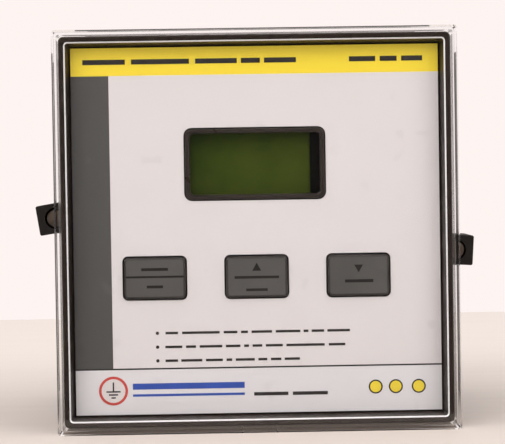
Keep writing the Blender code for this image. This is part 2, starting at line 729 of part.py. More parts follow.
def screw(name, parent, steel, at, shank_radius, shank_length, head_radius, head_height, inward):
    """Slotted pan-head screw with its seat at `at`; the shank points inward, +1 or -1 along Y."""
    mesh = bmesh.new()
    top = -inward * head_height
    add_turned(mesh, ((head_radius * HEAD_CROWN, top), (head_radius, top + inward * SLOT_DEPTH / 2),
                      (head_radius, 0), (shank_radius, 0), (shank_radius, inward * shank_length)))
    body = finish(name, mesh, parent, steel, at)
    mesh = bmesh.new()
    ends = sorted((top - inward * FIT, top + inward * SLOT_DEPTH))
    reach = head_radius + FIT
    add_box(mesh, (-reach, ends[0], -SLOT_WIDTH / 2), (reach, ends[1], SLOT_WIDTH / 2))
    cut(body, tool(name + "_slot", mesh, parent, at))
    return body


def chip(root, black, tin):
    """Microcontroller: moulded body with two rows of legs."""
    mesh = bmesh.new()
    low = FRONT_BOARD_BACK_Y + FIT + CHIP_STAND
    high = low + CHIP_HEIGHT
    seam = (low + high) / 2
    half_a = CHIP_LENGTH / 2
    half_b = CHIP_WIDTH / 2
    add_loft(mesh, [
        Ring(half_a - CHIP_DRAFT, half_b - CHIP_DRAFT, FIT, low),
        Ring(half_a, half_b, FIT, seam),
        Ring(half_a - CHIP_DRAFT, half_b - CHIP_DRAFT, FIT, high),
    ])
    body = finish("microcontroller", mesh, root, black, (CHIP_X, 0, CHIP_Z))
    body.data.materials.append(tin)
    mesh = bmesh.new()
    foot = FRONT_BOARD_BACK_Y + FIT
    out = half_b + CHIP_LEG_REACH
    row = (CHIP_LEGS - 1) * CHIP_PITCH / 2
    shoulder_low = seam - CHIP_LEG_SHEET / 2
    shoulder_high = seam + CHIP_LEG_SHEET / 2
    root_b = half_b - CHIP_LEG_SHEET
    for side in (-1, 1):
        outline = [(foot, out), (foot, out + CHIP_LEG_SHEET), (shoulder_high, out + CHIP_LEG_SHEET),
                   (shoulder_high, root_b), (shoulder_low, root_b), (shoulder_low, out)]
        for leg in range(CHIP_LEGS):
            middle = leg * CHIP_PITCH - row
            add_prism(mesh, [(place, side * up) for place, up in outline], "x",
                      middle - CHIP_LEG_WIDTH / 2, middle + CHIP_LEG_WIDTH / 2)
    weld(body, tool("chip_legs", mesh, root, (CHIP_X, 0, CHIP_Z)))


def channel_outline():
    """Undercut channel across its run: chamber behind two lips, about the chamber's centre."""
    deep = CHANNEL_DEPTH / 2
    tall = CHANNEL_HEIGHT / 2
    mouth = CHANNEL_MOUTH / 2
    out = deep + CHANNEL_LIP + FIT
    return [(-deep, -tall), (deep, -tall), (deep, -mouth), (out, -mouth), (out, mouth), (deep, mouth),
            (deep, tall), (-deep, tall)]


def channel_z(side):
    """Height of the channel on the left, -1, or right, +1, side of the case."""
    return LEFT_CHANNEL_Z if side < 0 else RIGHT_CHANNEL_Z


def channel_tool(root, name, low, high):
    """Both channels as one hidden shape; the left one has the right one's outline turned half round."""
    mesh = bmesh.new()
    for side in (-1, 1):
        add_prism(mesh, [(side * a, side * b) for a, b in channel_outline()], "y", low, high,
                  (side * CHANNEL_X, 0, channel_z(side)))
    return tool(name, mesh, root)


def case_body(root, black):
    """Case: square tube with clamp channels, corner bosses, vents and windows for the snap hooks."""
    mesh = bmesh.new()
    add_loft(mesh, [
        Ring(CASE_HALF, CASE_HALF, CASE_CORNER, CASE_Y),
        Ring(CASE_HALF, CASE_HALF, CASE_CORNER, CASE_BACK_Y),
        Ring(CASE_INNER_HALF, CASE_INNER_HALF, CASE_INNER_CORNER, CASE_BACK_Y),
        Ring(CASE_INNER_HALF, CASE_INNER_HALF, CASE_INNER_CORNER, CASE_Y),
    ], closed=True)
    body = finish("case_body", mesh, root, black)

    mesh = bmesh.new()
    tall = CHANNEL_HEIGHT / 2 + CHANNEL_WALL
    for side in (-1, 1):
        ends = sorted((side * CHANNEL_INNER_X, side * (CASE_INNER_HALF + CASE_WALL / 2)))
        add_box(mesh, (ends[0], CHANNEL_START - CHANNEL_WALL, channel_z(side) - tall),
                (ends[1], CASE_BACK_Y - FIT, channel_z(side) + tall))
    weld(body, tool("channel_backs", mesh, root))

    mesh = bmesh.new()
    for across, up in corner_places(REAR_SCREW_PLACE, REAR_SCREW_PLACE):
        add_turned(mesh, ((BOSS_TIP_RADIUS, BOSS_FRONT_Y), (BOSS_RADIUS, BOSS_FRONT_Y + BOSS_RADIUS),
                          (BOSS_RADIUS, BOSS_BACK_Y)), (across, 0, up))
    weld(body, tool("corner_bosses", mesh, root))

    mesh = bmesh.new()
    for across, up in corner_places(REAR_SCREW_PLACE, REAR_SCREW_PLACE):
        add_turned(mesh, ((REAR_SCREW_SHANK_RADIUS + FIT, REAR_SCREW_END_Y - FIT),
                          (REAR_SCREW_SHANK_RADIUS + FIT, BOSS_BACK_Y + FIT)), (across, 0, up))
    cut(body, tool("boss_holes", mesh, root))
    cut(body, channel_tool(root, "case_channels", CHANNEL_START, CASE_BACK_Y + FIT))

    mesh = bmesh.new()
    half = HOOK_WIDTH / 2 + FIT
    for side in (-1, 1):
        add_box(mesh, (side * HOOK_SPREAD - half, HOOK_REACH - HOOK_CATCH_LENGTH - FIT, -CASE_HALF - FIT),
                (side * HOOK_SPREAD + half, HOOK_REACH + FIT, CASE_HALF + FIT))
    cut(body, tool("hook_windows", mesh, root))

    mesh = bmesh.new()
    slot = (VENT_WIDTH / 2, VENT_LENGTH / 2, VENT_WIDTH / 2 * ROUND_SHARE)
    for vent in range(VENT_COUNT):
        across = (vent - (VENT_COUNT - 1) / 2) * VENT_PITCH
        for place in (-1, 1):
            middle = place * CASE_HALF
            add_loft(mesh, [Ring(*slot, up, across, VENT_Y)
                            for up in (middle - 2 * CASE_WALL, middle + 2 * CASE_WALL)],
                     axis="z", corner_steps=VENT_STEPS)
    cut(body, tool("vents", mesh, root))
    return body


def rear_cover(root, black):
    """Rear plate with a locating lip, screw columns, board pillars, vents and tail slots."""
    mesh = bmesh.new()
    lip_outer = CASE_INNER_HALF - FIT
    lip_inner = lip_outer - REAR_LIP_WALL
    lip_corner = max(CASE_INNER_CORNER - FIT, FIT)
    add_loft(mesh, [
        Ring(lip_inner, lip_inner, lip_corner, REAR_Y),
        Ring(lip_inner, lip_inner, lip_corner, REAR_LIP_Y),
        Ring(lip_outer, lip_outer, lip_corner, REAR_LIP_Y),
        Ring(lip_outer, lip_outer, lip_corner, REAR_Y),
        Ring(CASE_HALF, CASE_HALF, CASE_CORNER, REAR_Y),
        Ring(CASE_HALF, CASE_HALF, CASE_CORNER, REAR_BACK_Y - REAR_EDGE),
        Ring(CASE_HALF - REAR_EDGE, CASE_HALF - REAR_EDGE, CASE_CORNER - REAR_EDGE, REAR_BACK_Y),
    ])
    body = finish("rear_cover", mesh, root, black)

    mesh = bmesh.new()
    within_plate = REAR_Y + REAR_THICK / 2
    for across, up in corner_places(REAR_PILLAR_X, PILLAR_Z):
        add_turned(mesh, ((PILLAR_RADIUS, POWER_BOARD_BACK_Y + FIT), (PILLAR_RADIUS, within_plate)),
                   (across, 0, up))
    column = CASE_INNER_HALF - FIT - REAR_SCREW_PLACE
    for across, up in corner_places(REAR_SCREW_PLACE, REAR_SCREW_PLACE):
        add_turned(mesh, ((column, REAR_LIP_Y + FIT), (column, within_plate)), (across, 0, up))
    weld(body, tool("rear_pillars", mesh, root))

    mesh = bmesh.new()
    tall = CHANNEL_HEIGHT / 2 + CHANNEL_WALL + FIT
    for side in (-1, 1):
        ends = sorted((side * (CHANNEL_INNER_X - FIT), side * CASE_INNER_HALF))
        add_box(mesh, (ends[0], REAR_LIP_Y - FIT, channel_z(side) - tall),
                (ends[1], REAR_Y + FIT, channel_z(side) + tall))
    cut(body, tool("lip_notches", mesh, root))
    cut(body, channel_tool(root, "rear_channels", REAR_LIP_Y - FIT, REAR_BACK_Y + FIT))

    mesh = bmesh.new()
    for across, up in corner_places(REAR_PILLAR_X, PILLAR_Z):
        add_turned(mesh, ((SMALL_SHANK_RADIUS + FIT, POWER_BOARD_BACK_Y),
                          (SMALL_SHANK_RADIUS + FIT, POWER_BOARD_BACK_Y + SMALL_SCREW_GRIP + 2 * FIT)),
                   (across, 0, up))
    for across, up in corner_places(REAR_SCREW_PLACE, REAR_SCREW_PLACE):
        add_turned(mesh, ((REAR_SCREW_SHANK_RADIUS + FIT, REAR_LIP_Y - FIT),
                          (REAR_SCREW_SHANK_RADIUS + FIT, REAR_BACK_Y + FIT)), (across, 0, up))
    cut(body, tool("rear_holes", mesh, root))

    mesh = bmesh.new()
    slot = (REAR_VENT_WIDTH / 2, REAR_VENT_LENGTH / 2, REAR_VENT_WIDTH / 2 * ROUND_SHARE)
    for vent in range(REAR_VENT_COUNT):
        across = (vent - (REAR_VENT_COUNT - 1) / 2) * REAR_VENT_PITCH
        add_loft(mesh, [Ring(*slot, place, across) for place in (REAR_Y - FIT, REAR_BACK_Y + FIT)],
                 corner_steps=VENT_STEPS)
    cut(body, tool("rear_vents", mesh, root))
    return body


def rear_screws(root, steel):
    """Four screws that hold the rear cover to the corner bosses."""
    length = REAR_BACK_Y + FIT - REAR_SCREW_END_Y
    for number, (across, up) in enumerate(corner_places(REAR_SCREW_PLACE, REAR_SCREW_PLACE), 1):
        screw("rear_screw_" + str(number), root, steel, (across, REAR_BACK_Y + FIT, up),
              REAR_SCREW_SHANK_RADIUS, length, REAR_SCREW_HEAD_RADIUS, REAR_SCREW_HEAD_HEIGHT, -1)


def board_screws(root, steel):
    """Four screws that hold the power board to the pillars of the rear cover."""
    length = BOARD_THICK + 2 * FIT + SMALL_SCREW_GRIP
    for number, (across, up) in enumerate(corner_places(REAR_PILLAR_X, PILLAR_Z), 1):
        screw("board_screw_" + str(number), root, steel, (across, POWER_BOARD_Y - FIT, up),
              SMALL_SHANK_RADIUS, length, SMALL_HEAD_RADIUS, SMALL_HEAD_HEIGHT, 1)


def pole_places():
    """Places of the terminals along their strip."""
    return [(pole - (POLE_COUNT - 1) / 2) * POLE_PITCH for pole in range(POLE_COUNT)]


def terminal_strip(root, level, rear, power, black, brass):
    """Barrier strip with its six terminals; the lower strip is the upper one turned half round."""
    name = "upper" if level > 0 else "lower"
    seat = bpy.data.objects.new("strip_seat_" + name, None)
    bpy.context.scene.collection.objects.link(seat)
    seat.parent = root
    seat.location = (0, 0, level * STRIP_Z)
    seat.rotation_euler = (0, 0 if level > 0 else math.pi, 0)

    mesh = bmesh.new()
    add_loft(mesh, [Ring(STRIP_HALF, STRIP_HEIGHT / 2, STRIP_CORNER, STRIP_Y),
                    Ring(STRIP_HALF, STRIP_HEIGHT / 2, STRIP_CORNER, STRIP_BACK_Y)])
    strip = finish("terminal_strip_" + name, mesh, seat, black)
    mesh = bmesh.new()
    half = (POLE_PITCH - BARRIER_WALL) / 2
    for across in pole_places():
        add_box(mesh, (across - half, POCKET_Y, POCKET_LOW_Z),
                (across + half, STRIP_BACK_Y + FIT, STRIP_HEIGHT))
    cut(strip, tool("pockets_" + name, mesh, seat))
    mesh = bmesh.new()
    for across in pole_places():
        add_turned(mesh, ((TERMINAL_SHANK_RADIUS + FIT, STRIP_Y + FIT),
                          (TERMINAL_SHANK_RADIUS + FIT, POCKET_Y + FIT)), (across, 0, TERMINAL_SCREW_Z))
    cut(strip, tool("shank_holes_" + name, mesh, seat))
    mesh = bmesh.new()
    for across in pole_places():
        add_loft(mesh, [Ring(TAIL_WIDTH / 2 + FIT, TAIL_SHEET / 2 + FIT, FIT, place, across, TAIL_Z)
                        for place in (POWER_BOARD_Y - FIT, POCKET_Y + FIT)])
    tails = tool("tail_slots_" + name, mesh, seat)
    for body in (strip, rear, power):
        cut(body, tails)
    for pole, across in enumerate(pole_places()):
        number = pole + 1 if level > 0 else POLE_COUNT + pole + 1
        terminal(seat, number, across, brass)


def terminal(seat, number, across, brass):
    """Brass terminal plate with its solder tail, and the clamp screw that stays captive in it."""
    plate_back = TERMINAL_PLATE_Y + PLATE_SHEET
    place = (across, 0, 0)
    mesh = bmesh.new()
    add_loft(mesh, [
        Ring(PLATE_WIDTH / 2, PLATE_HEIGHT / 2, FIT, plate_back, 0, TERMINAL_PLATE_Z),
        Ring(PLATE_WIDTH / 2, PLATE_HEIGHT / 2, FIT, TERMINAL_PLATE_Y, 0, TERMINAL_PLATE_Z),
        Ring(TAIL_WIDTH / 2, TAIL_SHEET / 2, 0, TERMINAL_PLATE_Y, 0, TAIL_Z),
        Ring(TAIL_WIDTH / 2, TAIL_SHEET / 2, 0, POWER_BOARD_Y - TAIL_BEYOND, 0, TAIL_Z),
    ])
    name = "terminal_" + str(number)
    body = finish(name, mesh, seat, brass, place)
    mesh = bmesh.new()
    head = plate_back + TERMINAL_HEAD_HEIGHT
    head_seat = plate_back - TERMINAL_HEAD_SINK
    add_turned(mesh, ((TERMINAL_SHANK_RADIUS, STRIP_Y + 2 * FIT), (TERMINAL_SHANK_RADIUS, head_seat),
                      (TERMINAL_HEAD_RADIUS, head_seat), (TERMINAL_HEAD_RADIUS, head - SLOT_DEPTH / 2),
                      (TERMINAL_HEAD_RADIUS * HEAD_CROWN, head)), (0, 0, TERMINAL_SCREW_Z))
    weld(body, tool(name + "_screw", mesh, seat, place))
    mesh = bmesh.new()
    add_box(mesh, (-TERMINAL_HEAD_RADIUS - FIT, head - SLOT_DEPTH, TERMINAL_SCREW_Z - SLOT_WIDTH / 2),
            (TERMINAL_HEAD_RADIUS + FIT, head + FIT, TERMINAL_SCREW_Z + SLOT_WIDTH / 2))
    cut(body, tool(name + "_slot", mesh, seat, place))


def transformer(root, steel, plastic, copper):
    """Mains transformer: laminated core, bobbin round its middle leg, winding."""
    middle_y = PARTS_Y - CORE_STACK / 2 - BOBBIN_BULGE
    place = (TRANSFORMER_X, middle_y, 0)
    half_stack = CORE_STACK / 2
    mesh = bmesh.new()
    add_box(mesh, (-CORE_WIDTH / 2, -half_stack, -CORE_HEIGHT / 2),
            (CORE_WIDTH / 2, half_stack, CORE_HEIGHT / 2))
    core = finish("transformer_core", mesh, root, steel, place)
    window_z = CORE_HEIGHT / 2 - CORE_YOKE
    mesh = bmesh.new()
    for side in (-1, 1):
        ends = sorted((side * CORE_LEG / 2, side * (CORE_LEG / 2 + CORE_WINDOW)))
        add_box(mesh, (ends[0], -half_stack - FIT, -window_z), (ends[1], half_stack + FIT, window_z))
    cut(core, tool("core_windows", mesh, root, place))

    hole_a = CORE_LEG / 2 + FIT
    hole_b = half_stack + FIT
    tube_a = hole_a + BOBBIN_WALL
    tube_b = hole_b + BOBBIN_WALL
    flange_a = CORE_LEG / 2 + CORE_WINDOW - 2 * FIT
    flange_b = half_stack + BOBBIN_BULGE
    hole = (hole_a, hole_b, FIT)
    tube = (tube_a, tube_b, FIT)
    flange = (flange_a, flange_b, FIT)
    top = window_z - FIT
    under = top - BOBBIN_WALL
    mesh = bmesh.new()
    add_loft(mesh, [Ring(*hole, -top), Ring(*flange, -top), Ring(*flange, -under), Ring(*tube, -under),
                    Ring(*tube, under), Ring(*flange, under), Ring(*flange, top), Ring(*hole, top)],
             axis="z", closed=True)
    finish("transformer_bobbin", mesh, root, plastic, place)

    inner = (tube_a + FIT, tube_b + FIT, FIT)
    outer = (flange_a - WINDING_SHY, flange_b - WINDING_SHY, WINDING_CORNER)
    mesh = bmesh.new()
    add_loft(mesh, [Ring(*inner, FIT - under), Ring(*outer, FIT - under), Ring(*outer, under - FIT),
                    Ring(*inner, under - FIT)], axis="z", closed=True)
    finish("transformer_winding", mesh, root, copper, place)


def output_relay(root, name, half_a, half_b, place, blue):
    """Sealed output relay standing on the power board."""
    mesh = bmesh.new()
    edge = OUTPUT_RELAY_EDGE
    add_loft(mesh, [
        Ring(half_a, half_b, edge, PARTS_Y),
        Ring(half_a, half_b, edge, PARTS_Y - OUTPUT_RELAY_HEIGHT + edge),
        Ring(half_a - edge, half_b - edge, edge / 2, PARTS_Y - OUTPUT_RELAY_HEIGHT),
    ])
    finish(name, mesh, root, blue, place)


def capacitor(root, sleeve):
    """Electrolytic capacitor with its crimped groove."""
    mesh = bmesh.new()
    edge = CAPACITOR_EDGE
    groove = PARTS_Y - CAPACITOR_GROOVE
    top = PARTS_Y - CAPACITOR_LENGTH
    add_turned(mesh, ((CAPACITOR_RADIUS - edge, PARTS_Y), (CAPACITOR_RADIUS, PARTS_Y - edge),
                      (CAPACITOR_RADIUS, groove + edge), (CAPACITOR_RADIUS - edge, groove),
                      (CAPACITOR_RADIUS, groove - edge), (CAPACITOR_RADIUS, top + edge),
                      (CAPACITOR_RADIUS - edge, top)), steps=FINE_STEPS)
    finish("supply_capacitor", mesh, root, sleeve, (CAPACITOR_X, 0, 0))


def ribbon(root, black, grey):
    """Two plugs and the flat ribbon cable between the boards, bent in one long S."""
    front_y = FRONT_BOARD_BACK_Y + FIT
    ends = ((front_y, front_y + PLUG_HEIGHT), (PARTS_Y - PLUG_HEIGHT, PARTS_Y))
    for name, (low, high) in zip(("ribbon_plug_front", "ribbon_plug_rear"), ends):
        mesh = bmesh.new()
        add_loft(mesh, [Ring(PLUG_LENGTH / 2, PLUG_WIDTH / 2, FIT, low),
                        Ring(PLUG_LENGTH / 2, PLUG_WIDTH / 2, FIT, high)])
        finish(name, mesh, root, black, (PLUG_X, 0, PLUG_Z))
    low = ends[0][1] + FIT
    high = ends[1][0] - FIT
    under = []
    over = []
    for step in range(FINE_STEPS + 1):
        turn = math.tau * step / FINE_STEPS
        place = low + (high - low) * step / FINE_STEPS
        middle = RIBBON_SWAY * math.sin(turn) * math.sin(turn / 2)
        under.append((place, middle - RIBBON_THICK / 2))
        over.append((place, middle + RIBBON_THICK / 2))
    mesh = bmesh.new()
    add_prism(mesh, under + over[::-1], "x", -RIBBON_WIDTH / 2, RIBBON_WIDTH / 2)
    finish("ribbon_cable", mesh, root, grey, (PLUG_X, 0, PLUG_Z))


def clamp(root, side, droop, black, steel):
    """Clamp with a foot in the channel, and the jack screw through it."""
    name = "left" if side < 0 else "right"
    seat = bpy.data.objects.new("clamp_seat_" + name, None)
    bpy.context.scene.collection.objects.link(seat)
    seat.parent = root
    seat.location = (side * CHANNEL_X, CLAMP_START, channel_z(side))
    seat.rotation_euler = (0, math.radians(droop if side > 0 else 180 - droop), 0)

    foot = CLAMP_FOOT_THICK / 2
    foot_up = CLAMP_FOOT_HEIGHT / 2
    neck = CLAMP_NECK / 2
    block = CLAMP_BLOCK_X
    out = block + CLAMP_WIDTH
    up = CLAMP_HEIGHT / 2
    bevel = CLAMP_CHAMFER
    upper = [(-foot, foot_up), (foot, foot_up), (foot, neck), (block, neck), (block, up - bevel),
             (block + bevel, up), (out - bevel, up), (out, up - bevel)]
    outline = upper + [(a, -b) for a, b in reversed(upper)]
    mesh = bmesh.new()
    add_prism(mesh, outline, "y", 0, CLAMP_LENGTH)
    body = finish("clamp_" + name, mesh, seat, black)
    mesh = bmesh.new()
    add_turned(mesh, ((JACK_RADIUS + FIT, -FIT), (JACK_RADIUS + FIT, CLAMP_LENGTH + FIT)), (JACK_X, 0, 0),
               FINE_STEPS)
    cut(body, tool("jack_hole_" + name, mesh, seat))

    mesh = bmesh.new()
    tip = -JACK_TIP_PROUD
    head = tip + JACK_LENGTH
    top = head + JACK_HEAD_HEIGHT
    add_turned(mesh, ((JACK_RADIUS - JACK_TIP_CHAMFER, tip), (JACK_RADIUS, tip + JACK_TIP_CHAMFER),
                      (JACK_RADIUS, head), (JACK_HEAD_RADIUS, head),
                      (JACK_HEAD_RADIUS, top - JACK_TIP_CHAMFER),
                      (JACK_HEAD_RADIUS - JACK_TIP_CHAMFER, top)), steps=FINE_STEPS)
    jack = finish("jack_screw_" + name, mesh, seat, steel, (JACK_X, 0, 0))
    mesh = bmesh.new()
    add_box(mesh, (-JACK_HEAD_RADIUS - FIT, top - JACK_SLOT_DEPTH, -JACK_SLOT_WIDTH / 2),
            (JACK_HEAD_RADIUS + FIT, top + FIT, JACK_SLOT_WIDTH / 2))
    cut(jack, tool("jack_slot_" + name, mesh, seat, (JACK_X, 0, 0)))


def stand_on_origin(root):
    """Moves the whole relay so that the origin is the middle of its underside."""
    bpy.context.view_layer.update()
    graph = bpy.context.evaluated_depsgraph_get()
    lows = [math.inf] * 3
    highs = [-math.inf] * 3
    for body in bpy.context.scene.objects:
        if body.type != "MESH" or body.hide_render:
            continue
        shape = body.evaluated_get(graph)
        for corner in shape.bound_box:
            point = shape.matrix_world @ Vector(corner)
            for axis in range(3):
                lows[axis] = min(lows[axis], point[axis])
                highs[axis] = max(highs[axis], point[axis])
    root.location = (-(lows[0] + highs[0]) / 2, -(lows[1] + highs[1]) / 2, -lows[2])
    bpy.context.view_layer.update()


def build():
    """Makes every piece of the relay."""
    for old in list(bpy.data.objects):
        bpy.data.objects.remove(old)
    root = bpy.data.objects.new("relay", None)
    bpy.context.scene.collection.objects.link(root)

    black = make_material("black_abs", "#1f1a16", 0.38)
    grain = make_material("black_nylon", "#2b251f", 0.6)
    clear = make_material("clear_polycarbonate", "#fbf7f4", 0.05, alpha=0.2, transmission=0.9)
    white = make_material("label_white", "#e0d8d6", 0.45)
    yellow = make_material("label_yellow", "#f1d538", 0.45)
    strip_grey = make_material("label_grey", "#55514e", 0.45)
    line_black = make_material("label_black", "#1b1816", 0.45)
    dark = make_material("display_frame_black", "#312d21", 0.35)
    lcd_steel = make_material("blackened_steel", "#15130f", 0.4, 0.8)
    lcd_green = make_material("lcd_glass_green", "#3a4615", 0.15)
    backlight = make_material("diffuser_white", "#dcdcd0", 0.5)
    key_grey = make_material("key_grey", "#575552", 0.45)
    switch_white = make_material("switch_white", "#c9c6bf", 0.5)
    laminate = make_material("board_green", "#1d5a34", 0.4)
    chip_black = make_material("chip_epoxy", "#1b1b1c", 0.5)
    tin = make_material("tinned_legs", "#b9b9b6", 0.3, 1.0)
    zinc = make_material("zinc_plated_steel", "#b7b4aa", 0.3, 1.0)
    jack_steel = make_material("dulled_screw_steel", "#6d6259", 0.4, 1.0)
    brass = make_material("brass", "#c7a355", 0.3, 1.0)
    core_steel = make_material("core_steel", "#5c5a57", 0.5, 0.9)
    bobbin_plastic = make_material("bobbin_nylon", "#d8d3c4", 0.5)
    copper = make_material("enamelled_copper", "#8a3f1c", 0.35, 0.6)
    relay_blue = make_material("relay_blue", "#1d4f92", 0.4)
    sleeve = make_material("capacitor_sleeve", "#1a2436", 0.35)
    cable_grey = make_material("ribbon_grey", "#9a9a97", 0.5)

    transparent_cover(root, clear)
    front_frame(root, black)
    front_label(root, white, yellow, strip_grey, line_black)
    display_frame(root, dark)
    lcd_parts(root, lcd_steel, lcd_green, backlight)
    for index in range(len(KEY_NAMES)):
        key_parts(root, index, key_grey, chip_black, switch_white)
    front_places = corner_places(FRONT_PILLAR_X, PILLAR_Z)
    board("front_board", root, laminate, FRONT_BOARD_Y, front_places, STAKE_RADIUS + FIT)
    chip(root, chip_black, tin)
    ribbon(root, chip_black, cable_grey)

    case_body(root, black)
    rear = rear_cover(root, black)
    rear_screws(root, zinc)
    rear_places = corner_places(REAR_PILLAR_X, PILLAR_Z)
    power = board("power_board", root, laminate, POWER_BOARD_Y, rear_places, SMALL_SHANK_RADIUS + FIT)
    board_screws(root, zinc)
    for level in (1, -1):
        terminal_strip(root, level, rear, power, grain, brass)
    transformer(root, core_steel, bobbin_plastic, copper)
    short = OUTPUT_RELAY_WIDTH / 2
    long = OUTPUT_RELAY_LENGTH / 2
    output_relay(root, "output_relay_trip", short, long, (TRIP_RELAY_X, 0, 0), relay_blue)
    output_relay(root, "output_relay_alarm", long, short, (ALARM_RELAY_X, 0, ALARM_RELAY_Z), relay_blue)
    capacitor(root, sleeve)
    clamp(root, -1, LEFT_DROOP, grain, jack_steel)
    clamp(root, 1, RIGHT_DROOP, grain, jack_steel)
    stand_on_origin(root)


build()
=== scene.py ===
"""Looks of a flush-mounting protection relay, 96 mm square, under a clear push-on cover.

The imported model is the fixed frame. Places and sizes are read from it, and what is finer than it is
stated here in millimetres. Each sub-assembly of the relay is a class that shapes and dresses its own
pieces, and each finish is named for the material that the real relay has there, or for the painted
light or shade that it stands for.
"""

import json
import logging
import math
from collections.abc import Callable, Iterable, Sequence
from dataclasses import dataclass, field
from enum import Enum
from functools import cached_property
from typing import Any

import bmesh
import bpy
from mathutils import Matrix, Vector


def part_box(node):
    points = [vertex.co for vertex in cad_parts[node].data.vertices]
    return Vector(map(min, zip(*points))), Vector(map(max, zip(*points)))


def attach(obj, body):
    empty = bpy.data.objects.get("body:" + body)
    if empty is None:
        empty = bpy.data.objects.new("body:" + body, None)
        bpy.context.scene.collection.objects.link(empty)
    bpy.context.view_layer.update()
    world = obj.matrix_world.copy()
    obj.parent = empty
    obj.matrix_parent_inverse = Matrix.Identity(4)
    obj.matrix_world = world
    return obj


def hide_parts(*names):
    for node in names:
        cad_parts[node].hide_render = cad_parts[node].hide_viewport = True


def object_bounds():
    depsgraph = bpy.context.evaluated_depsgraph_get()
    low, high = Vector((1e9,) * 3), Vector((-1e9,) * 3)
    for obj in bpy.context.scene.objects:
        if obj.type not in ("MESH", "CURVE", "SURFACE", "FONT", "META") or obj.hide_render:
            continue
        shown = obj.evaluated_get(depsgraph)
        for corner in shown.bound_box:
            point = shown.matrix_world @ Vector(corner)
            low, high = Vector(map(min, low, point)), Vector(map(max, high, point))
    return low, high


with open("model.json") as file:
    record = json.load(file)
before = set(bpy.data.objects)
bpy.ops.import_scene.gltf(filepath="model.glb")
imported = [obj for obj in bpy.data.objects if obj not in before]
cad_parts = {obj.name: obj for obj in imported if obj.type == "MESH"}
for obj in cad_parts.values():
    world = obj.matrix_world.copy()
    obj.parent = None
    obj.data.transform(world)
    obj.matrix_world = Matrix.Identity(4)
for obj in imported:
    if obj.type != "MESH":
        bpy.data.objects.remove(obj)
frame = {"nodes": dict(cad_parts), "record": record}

LOG = logging.getLogger("protection_relay")
CAD_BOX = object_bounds()

MM = 0.001
WELD = 1e-6
FLAT_ANGLE = math.radians(0.5)
EDGE_ANGLE = math.radians(28)
CREASE_ANGLE = math.radians(40)
QUARTER_TURN = math.radians(90)
# Sockets of a Mix node that mixes colours, and the span where nearly all of a noise pattern lies.
MIX_A, MIX_B, MIX_OUT = 6, 7, 2
NOISE_SPAN = (0.3, 0.7)

Node, NodeTree, Socket = bpy.types.Node, bpy.types.NodeTree, bpy.types.NodeSocket
Source = Node | Socket    # a node stands for its first output
Object = bpy.types.Object
Box = tuple[Vector, Vector]


class Body(Enum):
    """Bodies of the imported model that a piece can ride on."""

    HOUSING = "housing"
    COVER = "cover"
    LEFT_KEY = "left_key"
    MIDDLE_KEY = "middle_key"
    RIGHT_KEY = "right_key"
    LEFT_CLAMP = "left_clamp"
    RIGHT_CLAMP = "right_clamp"
    LEFT_JACK = "left_jack"
    RIGHT_JACK = "right_jack"


class Axis(Enum):
    """Axis that a banded pattern runs along, as its place in a vector."""

    X = 0
    Y = 1
    Z = 2


def linear(code: str) -> tuple[float, float, float, float]:
    """Turn an sRGB hex value into a linear colour.

    Args:
        code: colour as "#rrggbb".

    Returns:
        Linear red, green, blue and an alpha of 1.
    """
    values = [int(code[place:place + 2], 16) / 255 for place in (1, 3, 5)]
    red, green, blue = [v / 12.92 if v <= 0.04045 else ((v + 0.055) / 1.055) ** 2.4 for v in values]
    return red, green, blue, 1.0


def per_metre(size_mm: float) -> float:
    """Scale of a pattern on Object coordinates whose features are this many millimetres wide."""
    return 1.0 / (size_mm * MM)


def feed(node: Node, inputs: dict[Any, Any]) -> None:
    """Set sockets of a node or link them.

    Args:
        node: node that takes the inputs.
        inputs: name or number of a socket, and what it takes: a value, an output socket, a node
            for its first output, or a list of nodes.
    """
    for key, value in inputs.items():
        for source in value if isinstance(value, list) else [value]:
            if isinstance(source, Node):
                source = source.outputs[0]
            if isinstance(source, Socket):
                node.id_data.links.new(source, node.inputs[key])
            else:
                node.inputs[key].default_value = source


def add_node(tree: NodeTree, kind: str, inputs: dict[Any, Any] | None = None,
             **settings: Any) -> Node:
    """Add one node with its settings and what goes into its sockets.

    Args:
        tree: shader or geometry tree that gets the node.
        kind: Blender's name of the node's type.
        inputs: what goes into its sockets, as feed takes it.
        settings: attributes of the node.

    Returns:
        The new node.
    """
    node = tree.nodes.new(kind)
    for name, value in settings.items():
        setattr(node, name, value)
    feed(node, inputs or {})
    return node


def bare_tree(owner: bpy.types.Material | bpy.types.World) -> NodeTree:
    """Node tree of a material or world, with nothing in it."""
    owner.use_nodes = True
    owner.node_tree.nodes.clear()
    return owner.node_tree


def patches(tree: NodeTree, point: Source, size_mm: float, detail: float, span: tuple[float, float],
            values: tuple[float, float], roughness: float = 0.5) -> Node:
    """Spread one stretch of a noise pattern over a range of values.

    Args:
        tree: the material's tree.
        point: coordinates that the pattern lies on.
        size_mm: width of its features.
        detail: octaves of the noise.
        span: stretch of the noise that is spread.
        values: what the ends of that stretch become.
        roughness: weight of the finer octaves.

    Returns:
        The node that gives the values.
    """
    noise = add_node(tree, "ShaderNodeTexNoise", {
        "Vector": point, "Scale": per_metre(size_mm), "Detail": detail, "Roughness": roughness})
    return add_node(tree, "ShaderNodeMapRange", {
        "Value": noise, "From Min": span[0], "From Max": span[1],
        "To Min": values[0], "To Max": values[1]})


def painted(tree: NodeTree, ground: Any, layers: Iterable[tuple[Source, Any]]) -> Socket:
    """Lay colours over a ground, one after another.

    Args:
        tree: material's or world's tree.
        ground: colour or colour socket that lies under them.
        layers: how far each colour covers what is under it, and the colour itself.

    Returns:
        Colour socket of the whole.
    """
    for cover, colour in layers:
        mixed = add_node(tree, "ShaderNodeMix", {0: cover, MIX_A: ground, MIX_B: colour},
                         data_type="RGBA")
        ground = mixed.outputs[MIX_OUT]
    return ground


